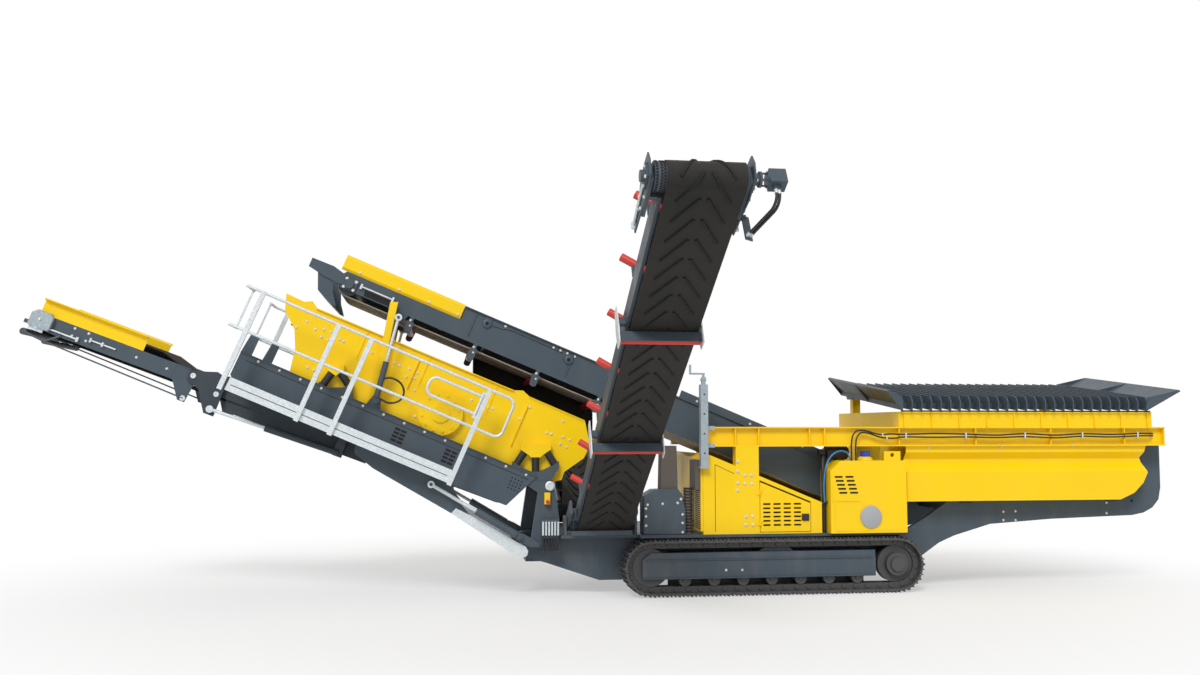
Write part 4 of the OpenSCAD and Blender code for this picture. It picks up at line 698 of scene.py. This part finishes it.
class PLANT_OT_main_head(bpy.types.Operator):
    """Screws, hand holes, eyes, plate joint and roller hangers of the main conveyor; screws, guards, fold rams and
    scraper of the tail."""
    bl_idname = "plant.main_head"
    bl_label = "Main conveyor and tail"

    def execute(self, context):
        screws = rods(MAIN, (0.49, -0.742, 0.185), (0.92, -0.742, 0.185), 0.012, 10)
        nut = panel(0.03, 0.07, 0.036)
        trim("main_tension_screws", ZINC, (nut, [[0.485, 0.185], [0.925, 0.185]], MAIN_PLATE), first=screws, smooth=40)
        # Hand holes: thin near-black plates, painted shade where the holes open into the frame.
        hole = carried([[0.56, 0.085], [0.95, 0.085], [0.92, 0.16], [0.54, 0.16]], 0.002, 0.0005)
        trim("main_hand_holes", SEAM_BLACK_AND_PAINTED_SHADE, (hole, AS_DRAWN, MAIN_PLATE))
        at = [[2.18, 0.385], [3.37, 0.365]]
        eye = turned([0.06, 0.06, 0.052, 0.024, 0.021], [0, 0.018, 0.024, 0.024, 0.012], 24)
        foot = carried([[-0.075, -0.02], [0.075, -0.02], [0.045, 0.085], [-0.045, 0.085]], 0.014, 0.004)
        trim("main_lifting_eyes", SLATE, (eye, at, MAIN_PLATE), (foot, at, MAIN_PLATE), smooth=40)
        # The eyes' bores: near-black discs, painted shade in the bores.
        trim("main_eye_bores", SEAM_BLACK_AND_PAINTED_SHADE, (turned([0.0215, 0.0205], [0, 0.001], 24), at, (MAIN, 0.7335)))
        joint = at_depth([[2.26, 0.385], [2.4, 0.395], [2.5, 0.422], [2.9, 0.424], [3.26, 0.415]], -0.721)
        make("main_plate_joint", SEAM_BLACK_AND_PAINTED_SHADE, both_tubes(put(MAIN, flowing(joint)), 0.004, 6))
        hanger = carried([[-0.055, 0.06], [-0.045, -0.085], [-0.02, -0.105], [0.02, -0.105], [0.045, -0.085],
                          [0.055, 0.06]], 0.021, 0.003)
        trim("return_roller_hangers", SLATE, (hanger, [[u, -0.045] for u in (1.25, 2.15, 3.05, 3.95)], (MAIN, 0.703)))

        screws = rods(FINES, (-1.34, -0.674, -0.03), (-1.02, -0.674, -0.03), 0.011, 10)
        nut = panel(0.026, 0.06, 0.034)
        trim("tail_tension_screws", ZINC, (nut, [[-1.345, -0.03], [-1.19, -0.03]], TAIL_PLATE), first=screws,
             body="tail", smooth=40)
        guard = carried([[-2.105, -0.115], [-1.87, -0.115], [-1.85, -0.095], [-1.85, 0.065], [-1.895, 0.11],
                         [-2.06, 0.11], [-2.125, 0.05], [-2.125, -0.095]], 0.064, 0.008)
        trim("tail_drum_guards", DULL_ZINC, (guard, AS_DRAWN, TAIL_PLATE), body="tail")
        trim("tail_guard_bolts", BOLT, (bolt_head(0.036), (-2, 0), (FINES, 0.724)), body="tail")
        rams = rods(FINES, (0.354, -0.752, -0.315), (1.1, -0.752, -0.296), 0.022, 14)
        eye = turned([0.048, 0.048, 0.042], [0, 0.044, 0.05], 20)
        trim("tail_ram_rods", ZINC, (eye, (0.354, -0.315), (FINES, 0.726)), first=rams, smooth=40)
        # The ram barrels, their lug and a long plate inside the frame take slate darkened as painted shade; the plate
        # is a dark sheet that fills the gap behind the rams with painted shade.
        lug, gap_shade_plate = panel(0.12, 0.26, 0.13, 0.006), panel(1.95, 0.17, 0.022, 0.003)
        trim("tail_ram_barrels", SLATE_PAINTED_SHADE, (lug, (2.05, -0.19), (FINES, 0.64)), (gap_shade_plate, (1.45, -0.2), (FINES, 0.6)),
             first=rods(FINES, (1.08, -0.752, -0.297), (2.06, -0.752, -0.27), 0.044, 16), smooth=40)
        root, knee, nose = (-1.7, -0.668, -0.105), (-1.859, -0.668, -0.244), (-2.141, -0.668, -0.215)
        arms = rods(FINES, root, knee, 0.014, 8, 2) + rods(FINES, knee, nose, 0.014, 8, 2)
        arms += rods(FINES, knee, (-0.023, -0.694, -0.308), 0.01, 8, 2)
        make("tail_scraper_arms", SLATE, arms, "tail", smooth=40)
        rolls = [tube(put(FINES, [(u, -0.68, w), (u, 0.68, w)]), r, 16)
                 for (u, _, w), r in ((knee, 0.034), (nose, 0.044))]
        make("tail_scraper_rollers", TRACK, rolls, "tail", smooth=40)
        return {"FINISHED"}


class PLANT_OT_skirt_vents(bpy.types.Operator):
    """Vent slots and drain holes in the skirts as painted shade, a painted shade line along their fold, and the dark
    joint in the toe boards.
    """
    bl_idname = "plant.skirt_vents"
    bl_label = "Skirt vents"

    def execute(self, context):
        # Vent slots and drain holes: near-black plates, painted shade in the openings.
        slots = grid([1.998, 2.082, 2.698, 2.782], -1.175 + np.arange(4) * 0.05)
        drains = grid(3.6 + np.arange(4) * 0.045, -1.165 + np.arange(4) * 0.045)
        trim("skirt_vents", SEAM_BLACK_AND_PAINTED_SHADE, (panel(0.072, 0.032, 0.002, 0.001), slots, SKIRT),
             (turned([0.011, 0.01], [0, 0.002], 12), drains, SKIRT))
        # A near-black line along the skirts' fold, painted shade in the crease, and the dark joint in the toe boards.
        trim("skirt_fold_shade_and_toe_board_joint", SEAM_BLACK_AND_PAINTED_SHADE, (panel(3.9, 0.007, 0.0015, 0.001), (1.85, -0.972), SKIRT),
             (panel(2.9, 0.009, 0.0015, 0.001), (1.357, -1.318), TOE_BOARD))
        return {"FINISHED"}


class PLANT_OT_screen_mesh(bpy.types.Operator):
    """Woven wire over both decks of the screen."""
    bl_idname = "plant.screen_mesh"
    bl_label = "Screen mesh"

    def execute(self, context):
        pitch, half = context.scene.plant_sizes.mesh_pitch, 0.77
        make("upper_deck_wires", WIRE, woven_wires(SCREEN, 0.24, 4.22, half, -0.29, pitch, 0.007))
        make("lower_deck_wires", WIRE, woven_wires(SCREEN, 0.54, 4.12, half, -0.762, pitch, 0.006))
        return {"FINISHED"}


class PLANT_OT_walkway_grating(bpy.types.Operator):
    """Bearing bars and cross rods of the walkway grating."""
    bl_idname = "plant.walkway_grating"
    bl_label = "Walkway grating"

    def execute(self, context):
        bar, cross = panel(2.93, 0.006, 0.01, 0.001), panel(0.008, 0.285, 0.007, 0.001)
        middle, level = 1.357, -1.31
        parts = []
        for way in (-1.0, 1.0):
            at = [[middle, way * (0.955 + k * 0.0315), level] for k in range(10)]
            parts.append(scatter(bar, put(SCREEN, at), SCREEN[0]))
            at = [[-0.1 + k * 0.051, way * 1.097, level] for k in range(58)]
            parts.append(scatter(cross, put(SCREEN, at), SCREEN[0]))
        make("walkway_grating", ZINC, parts)
        return {"FINISHED"}


class PLANT_OT_track_fittings(bpy.types.Operator):
    """Shoe bolts, grousers and link pins of both tracks, ledges and rock guards of their frames."""
    bl_idname = "plant.track_fittings"
    bl_label = "Track fittings"

    def execute(self, context):
        count = context.scene.plant_sizes.shoes
        # The pin line: wheel base, radius round a wheel, the axles' places along X and their height.
        base, pin, rear, front, axle = 3.34, 0.2825, 0.28, 3.62, 0.37
        pitch = (2 * base + 2 * np.pi * pin) / count

        def loop(share, h):
            """Point and outward direction (X, Z) at a share of each shoe's pitch along the pin line, h out from it."""
            s = np.mod((np.arange(count) + share) * pitch, pitch * count)
            arc = np.pi * pin
            round_front = np.pi / 2 - np.clip((s - base) / pin, 0, np.pi)
            round_rear = 1.5 * np.pi - np.clip((s - 2 * base - arc) / pin, 0, np.pi)
            where = [s < base, s < base + arc, s < 2 * base + arc]
            angle = np.select(where, [np.pi / 2 + 0 * s, round_front, 1.5 * np.pi + 0 * s], round_rear)
            middle = np.select(where, [rear + s, front + 0 * s, front - (s - base - arc)], rear + 0 * s)
            out = np.stack([np.cos(angle), np.sin(angle)], -1)
            return np.stack([middle, axle + 0 * s], -1) + out * (pin + h), out

        def on_shoes(shape, shares, h, sides):
            """Copies of a shape on every shoe, at shares of its pitch, h out from the pin line and at each y."""
            parts = []
            for share in shares:
                at, out = loop(share, h)
                n = at_depth(out, 0.0)
                a = np.broadcast_to([0.0, 1.0, 0.0], n.shape)
                rows = np.stack([a, np.cross(n, a), n], 1)
                parts += [scatter(shape, at_depth(at, y), rows) for y in sides]
            return parts

        bolt = turned([0.017, 0.017, 0.012], [0.0, 0.01, 0.014], 6)
        make("shoe_bolts", TRACK, on_shoes(bolt, (0.52, 0.8), 0.0655, (-1.12, -0.98, 0.98, 1.12)))
        bar = panel(0.396, 0.014, 0.0255, 0.003)
        make("shoe_grousers", TRACK, on_shoes(bar, (0.618, 0.952), 0.06, (-1.05, 1.05)))
        trim("track_frame_ledges", SLATE, (panel(3.05, 0.016, 0.016), (1.74, 0.47), TRACK_FRAME),
             (panel(3.13, 0.018, 0.02), (1.74, 0.236), TRACK_FRAME))
        trim("track_rock_guards", ROCK_GUARD, (panel(2.7, 0.135, 0.012, 0.002), (1.9, 0.168), (WORLD, 0.914)))
        boss = turned([0.03, 0.03, 0.026], [0.0, 0.012, 0.016], 10)
        trim("link_pins", TRACK, (boss, loop(0.5, 0.0)[0], (WORLD, 1.142)))
        return {"FINISHED"}


class PLANT_OT_panel_trim(bpy.types.Operator):
    """Tank vents, house seams, the door's latch and the radiator's slots."""
    bl_idname = "plant.panel_trim"
    bl_label = "Panel trim"

    def execute(self, context):
        # Tank vent slots: near-black plates, painted shade in the slots.
        vents = [[x + 0.015 * k, 1.533 - 0.0525 * k] for x in (2.8, 2.95) for k in range(5)]
        trim("tank_vent_slots", SEAM_BLACK_AND_PAINTED_SHADE, (panel(0.108, 0.025, 0.002, 0.001), vents, TANK))
        slant = carried([[1.145, 1.697], [1.4, 1.577], [1.4, 1.584], [1.145, 1.704]], 0.0015, 0.0003)
        trim("house_panel_seams", SEAM_BLACK_AND_PAINTED_SHADE, (panel(0.007, 0.88, 0.0015, 0.001), (1.145, 1.26), HOUSE),
             (slant, AS_DRAWN, HOUSE))
        latch = carried([[-0.044, -0.046], [0.044, -0.046], [0.05, -0.03], [0.05, 0.03], [0.044, 0.046],
                         [-0.044, 0.046], [-0.05, 0.03], [-0.05, -0.03]], 0.022, 0.008)
        make("door_latch", PLASTIC, [scatter(latch, (2.37, -1.15, 1), TO_NEAR)], "door")
        # Radiator slots: near-black plates, painted shade in the openings of the grille.
        yz = grid([-0.955, -0.615], 0.86 + np.arange(21) * 0.026)
        at = np.c_[np.full(len(yz), 0.955), yz]
        make("radiator_slots", SEAM_BLACK_AND_PAINTED_SHADE, [scatter(panel(0.27, 0.014, 0.002, 0.0005), at, TO_TAIL)])
        return {"FINISHED"}


class PLANT_OT_exhaust_trim(bpy.types.Operator):
    """The exhaust box with its sloping shoulders, its stack and hose, and the duct above the radiator."""
    bl_idname = "plant.exhaust_trim"
    bl_label = "Exhaust trim"

    def execute(self, context):
        def both_ways(outline, depth, chamfer, y):
            """A plate carried from its middle plane at y to both sides."""
            shape = carried(outline, depth, chamfer)
            return [scatter(shape, [[0, y, 0]], TO_NEAR), scatter(shape, [[0, y, 0]], TO_FAR, flip=True)]

        shell = both_ways([[0.2, 0.79], [0.76, 0.79], [0.76, 1.1], [0.715, 1.31], [0.655, 1.385], [0.335, 1.372],
                           [0.2, 1.295]], 0.15, 0.008, -0.95)
        box = make("exhaust_box", SLATE, shell)
        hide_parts("exhaust")
        stack = both_ways([[0.435, 1.372], [0.668, 1.372], [0.655, 1.945], [0.45, 1.945]], 0.1, 0.006, -0.937)
        z = np.linspace(0.0, 0.6, 61)
        ribs = 0.06 + 0.008 * np.cos(z / 0.04 * 2 * np.pi)
        stack.append(scatter(turned(ribs, z, 20), [[0.826, -0.93, 0.79]], np.eye(3)))
        piece = make("exhaust_duct", BROWN, stack, smooth=30)
        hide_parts("exhaust_stack")
        inlet = scatter(panel(0.32, 0.39, 0.075, 0.006), [[0.955, -0.96, 1.565]], TO_TAIL)
        make("radiator_inlet_duct", BROWN, [inlet])
        return {"FINISHED"}


class PLANT_OT_tank_and_jack(bpy.types.Operator):
    """Tank caps and covers, foot screens, a dark strip of painted shade under the grid, fittings of the rear arm and
    tower, holes of the jack drawn as painted shade.
    """
    bl_idname = "plant.tank_and_jack"
    bl_label = "Tank, tower and jack fittings"

    def execute(self, context):
        at = [[3.253, way * 1.05, 1.745] for way in (-1, 1)]
        neck = turned([0.105, 0.103, 0.078, 0.07, 0.066], [0, 0.018, 0.046, 0.05, 0.05], 28)
        make("filler_necks", YELLOW, [scatter(neck, at, np.eye(3))], smooth=40)
        points, faces = turned([0.067, 0.067, 0.062, 0.062, 0.052, 0.02], [0.048, 0.085, 0.09, 0.116, 0.124, 0.126], 28)
        # Every second corner of the cap stands out, as a grip.
        grip = 1 + 0.045 * (np.arange(len(points)) % 2)[:, None] * np.array([1, 1, 0])
        make("filler_caps", BLUE_CAP, [scatter((points * grip, faces), at, np.eye(3))])
        cover = turned([0.1475, 0.1475, 0.1445], [0, 0.0185, 0.0205], 48)
        trim("round_covers", GREY, (cover, (3.238, 1.002), TANK), smooth=40)
        trim("foot_screens", SLATE, (panel(0.8, 0.062, 0.012, 0.003), (-0.35, 0.821), (WORLD, 1.075)))
        # A dark rubber strip under the grid's near edge: painted shade that fills the gap between the grid and the
        # hopper.
        gap_shade_strip = panel(3.66, 0.022, 0.02, 0.003)
        make("grid_gap_shade_strip", RUBBER, [scatter(gap_shade_strip, (5.56, -1.163, 2.4), np.eye(3))])
        clamp = panel(0.165, 0.045, 0.03, 0.006)
        trim("arm_clamps", PLASTIC, (clamp, [[4.776, 1.172], [6.96, 1.18]], ARM))
        # A hole in the rear arm: a near-black disc, painted shade in the hole.
        trim("arm_holes", SEAM_BLACK_AND_PAINTED_SHADE, (turned([0.022, 0.021], [0, 0.002], 20), (7.276, 1.154), ARM))
        ring = turned([0.062, 0.062, 0.054, 0.036, 0.034, 0.01], [0, 0.03, 0.036, 0.036, 0.028, 0.028], 28)
        trim("lift_arm_pins", ZINC, (ring, (-1.015, 1.426), TOWER), smooth=40)
        trim("switch_boxes", YELLOW, (panel(0.075, 0.15, 0.07, 0.008), (-1.052, 1.265), TOWER))
        knob = turned([0.014, 0.014, 0.026, 0.026, 0.018], [0, 0.014, 0.018, 0.032, 0.04], 20)
        trim("switch_knobs", RED, (knob, (-1.052, 1.225), (WORLD, 1.0)), smooth=40)
        # Holes of the jack: near-black discs, painted shade in the holes.
        holes = at_depth(between((0.983, 1.85), (0.983, 2.62), 4), -1.254)
        make("jack_holes", SEAM_BLACK_AND_PAINTED_SHADE, [scatter(turned([0.012, 0.011], [0, 0.0015], 12), holes, TO_NEAR)])
        return {"FINISHED"}


class PLANT_OT_hose_runs(bpy.types.Operator):
    """Hydraulic hoses on the beams, the tanks, the valve banks and the struts."""
    bl_idname = "plant.hose_runs"
    bl_label = "Hose runs"

    def execute(self, context):
        r = context.scene.plant_sizes.hose / 2
        upper = [[3.02, 1.74], [3.02, 1.95], [3.04, 2.07], [3.09, 2.135], [3.15, 2.15], [3.24, 2.14], [3.36, 2.105],
                 [3.46, 2.09], [3.57, 2.1], [3.78, 2.095], [4.22, 2.105], [4.65, 2.097], [5.1, 2.083],
                 [5.51, 2.102], [5.95, 2.082], [6.36, 2.101], [6.79, 2.091], [7.19, 2.105], [7.38, 2.103]]
        lower = [[3.08, 1.74], [3.08, 1.95], [3.1, 2.05], [3.14, 2.105], [3.19, 2.12], [3.28, 2.105], [3.4, 2.065],
                 [3.52, 2.045], [3.65, 2.045], [3.78, 2.06], [4.22, 2.055], [4.65, 2.059], [5.1, 2.05],
                 [5.51, 2.062], [5.95, 2.046], [6.36, 2.066], [6.79, 2.056], [7.19, 2.07], [7.38, 2.072]]
        runs = []
        for line in (upper, lower):
            path = np.concatenate([at_depth(line, -1.151 - r), [[7.46, -1.1, line[-1][1]]]])
            runs += both_tubes(flowing(path), r)
        make("beam_hoses", HOSE, runs, smooth=40)
        single, pair = (panel(0.022, tall, 2 * r + 0.005, 0.004) for tall in (0.036, 0.08))
        pairs = [[3.79, 2.077], [4.65, 2.078], [5.51, 2.082], [6.36, 2.083], [7.19, 2.087]]
        trim("beam_hose_clips", ZINC, (single, [[3.46, 2.09], [3.52, 2.046]], HOUSE), (pair, pairs, HOUSE))
        duct = [[2.652, -1.08, 0.8], [2.652, -1.08, 1.1], [2.65, -1.08, 1.4], [2.655, -1.06, 1.62],
                [2.68, -1.0, 1.76], [2.72, -0.95, 1.85]]
        drain = at_depth([[2.6, 0.79], [2.585, 0.92], [2.578, 1.05], [2.6, 1.16], [2.66, 1.19], [2.7, 1.19]], -1.12)
        make("tank_hoses", HOSE, both_tubes(flowing(duct), 0.03, 12) + both_tubes(flowing(drain), 0.014), smooth=40)
        vent = [[2.65, -1.12, 1.19], [2.645, -1.12, 1.45], [2.68, -1.12, 1.68], [2.76, -1.11, 1.81],
                [2.87, -1.1, 1.87], [2.97, -1.1, 1.855], [3.01, -1.1, 1.8], [3.015, -1.1, 1.74]]
        make("tank_vent_hoses", BLUE_HOSE, both_tubes(flowing(vent), 0.011), smooth=40)
        ends, hoses = [], []
        for x in -1.115 + np.arange(6) * 0.039:
            ends += rods(WORLD, (x, -1.073, 0.8), (x, -1.073, 0.975), 0.0125, 8)
            line = [[x, -1.073, 0.81], [x, -1.073, 0.7], [x, -1.05, 0.63], [x, -0.99, 0.6], [x, -0.92, 0.6]]
            hoses += both_tubes(flowing(line, 4), 0.01)
        make("valve_hose_ends", ZINC, ends, smooth=40)
        loop = [[1.557, -1.03, -0.52], [1.66, -1.075, -0.46], [1.8, -1.08, -0.475], [1.885, -1.08, -0.57],
                [1.87, -1.08, -0.69], [1.75, -1.075, -0.765], [1.586, -1.03, -0.745]]
        hoses += both_tubes(put(SCREEN, flowing(loop)), 0.013)
        make("valve_hoses", HOSE, hoses, smooth=40)
        return {"FINISHED"}


def seen_rays(tree):
    """1 for rays straight from the camera, off gloss or through glass, and 0 for light scattered by matt faces."""
    ray = add(tree, "LightPath")
    seen = ray.outputs["Is Camera Ray"]
    for kind in ("Is Glossy Ray", "Is Transmission Ray"):
        seen = add(tree, "Math", {0: seen, 1: ray.outputs[kind]}, operation="MAXIMUM").outputs[0]
    return seen


class PLANT_OT_studio(bpy.types.Operator):
    """Floor, lamps, world and camera."""
    bl_idname = "plant.studio"
    bl_label = "Studio"

    def execute(self, context):
        scene = context.scene
        scene.view_settings.view_transform = "Standard"
        white = (1.0, 1.0, 1.0, 1.0)
        side, drop = 9, -0.002
        edge = np.linspace(-40.0, 40.0, side)
        corners = np.c_[grid(edge, edge), np.full(side * side, drop)]
        mesh = bpy.data.meshes.new("studio_floor")
        mesh.from_pydata(corners.tolist(), [], grid_quads(side, side, False)[:, ::-1].tolist())
        floor = bpy.data.objects.new("studio_floor", mesh)
        scene.collection.objects.link(floor)
        # Matt white floor that keeps the shadow near the object and fades to the white of the world.
        material, tree, shader, place = start("matt_white_floor")
        fill(tree, shader, {"Base Color": linear("E9E9E8"), "Roughness": 0.9})
        flat = add(tree, "Mapping", {"Vector": place, "Scale": (1.0, 1.15, 0.0)})
        away = add(tree, "VectorMath", {0: flat.outputs["Vector"]}, operation="LENGTH")
        fade = add(tree, "MapRange", {"Value": away.outputs["Value"], "From Min": 5.0, "From Max": 11.0,
                                      "To Min": 0.45, "To Max": 1.0}, interpolation_type="SMOOTHSTEP")
        share = add(tree, "Math", {0: fade.outputs["Result"], 1: seen_rays(tree)}, operation="MULTIPLY")
        glow = add(tree, "Emission", {"Color": white, "Strength": 1.0})
        both = add(tree, "MixShader", {0: share.outputs["Value"], 1: shader.outputs["BSDF"],
                                       2: glow.outputs["Emission"]})
        output = next(n for n in tree.nodes if n.type == "OUTPUT_MATERIAL")
        fill(tree, output, {"Surface": both.outputs["Shader"]})
        mesh.materials.append(material)

        # White to the camera, and 0.60 as bright on the object.
        world = bpy.data.worlds.new("studio_world")
        world.use_nodes = True
        tree = world.node_tree
        tree.nodes.clear()
        level = add(tree, "Math", {0: seen_rays(tree), 1: 0.40, 2: 0.60}, operation="MULTIPLY_ADD")
        sky = add(tree, "Background", {"Color": white, "Strength": level.outputs[0]})
        add(tree, "OutputWorld", {"Surface": sky.outputs[0]})
        scene.world = world

        lamp = bpy.data.lights.new("key_lamp", "SUN")
        lamp.energy = scene.plant_sizes.sun
        lamp.angle = math.radians(20)
        key = bpy.data.objects.new("key_lamp", lamp)
        key.rotation_euler = (math.radians(48), 0.0, math.radians(-24))
        scene.collection.objects.link(key)

        lens = bpy.data.cameras.new("photo_camera")
        lens.sensor_width = 36.0
        lens.lens = scene.plant_sizes.lens
        lens.clip_end = 200.0
        eye = bpy.data.objects.new("photo_camera", lens)
        eye.location = (-2.577, -15.99, 2.18)
        eye.rotation_euler = (math.radians(90 + 4.5), 0.0, math.radians(-8.4))
        scene.collection.objects.link(eye)
        scene.camera = eye
        return {"FINISHED"}


class PLANT_PT_panel(bpy.types.Panel):
    """The dressing steps and their values."""
    bl_idname = "PLANT_PT_panel"
    bl_label = "Vibrating screen"
    bl_space_type = "VIEW_3D"
    bl_region_type = "UI"
    bl_category = "Screen"

    def draw(self, context):
        for step in STEPS:
            self.layout.operator(step.bl_idname)
        for group in (context.scene.plant_sizes, context.scene.plant_colours):
            for key in group.__annotations__:
                self.layout.prop(group, key)


STEPS = (PLANT_OT_studio, PLANT_OT_finish_solids, PLANT_OT_belt_cleats, PLANT_OT_side_trim, PLANT_OT_bolt_rows,
         PLANT_OT_main_head, PLANT_OT_skirt_vents, PLANT_OT_screen_mesh, PLANT_OT_walkway_grating,
         PLANT_OT_track_fittings, PLANT_OT_panel_trim, PLANT_OT_exhaust_trim, PLANT_OT_tank_and_jack,
         PLANT_OT_hose_runs)
CLASSES = (PlantColours, PlantSizes) + STEPS + (PLANT_PT_panel,)


def register():
    for kind in CLASSES:
        bpy.utils.register_class(kind)
    bpy.types.Scene.plant_colours = PointerProperty(type=PlantColours)
    bpy.types.Scene.plant_sizes = PointerProperty(type=PlantSizes)


def unregister():
    del bpy.types.Scene.plant_sizes
    del bpy.types.Scene.plant_colours
    for kind in reversed(CLASSES):
        bpy.utils.unregister_class(kind)


def main():
    register()
    bpy.ops.plant.studio()
    bpy.ops.plant.finish_solids()
    bpy.ops.plant.belt_cleats()
    bpy.ops.plant.side_trim()
    bpy.ops.plant.bolt_rows()
    bpy.ops.plant.main_head()
    bpy.ops.plant.skirt_vents()
    bpy.ops.plant.screen_mesh()
    bpy.ops.plant.walkway_grating()
    bpy.ops.plant.track_fittings()
    bpy.ops.plant.panel_trim()
    bpy.ops.plant.exhaust_trim()
    bpy.ops.plant.tank_and_jack()
    bpy.ops.plant.hose_runs()
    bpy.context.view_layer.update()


if __name__ == "__main__":
    main()
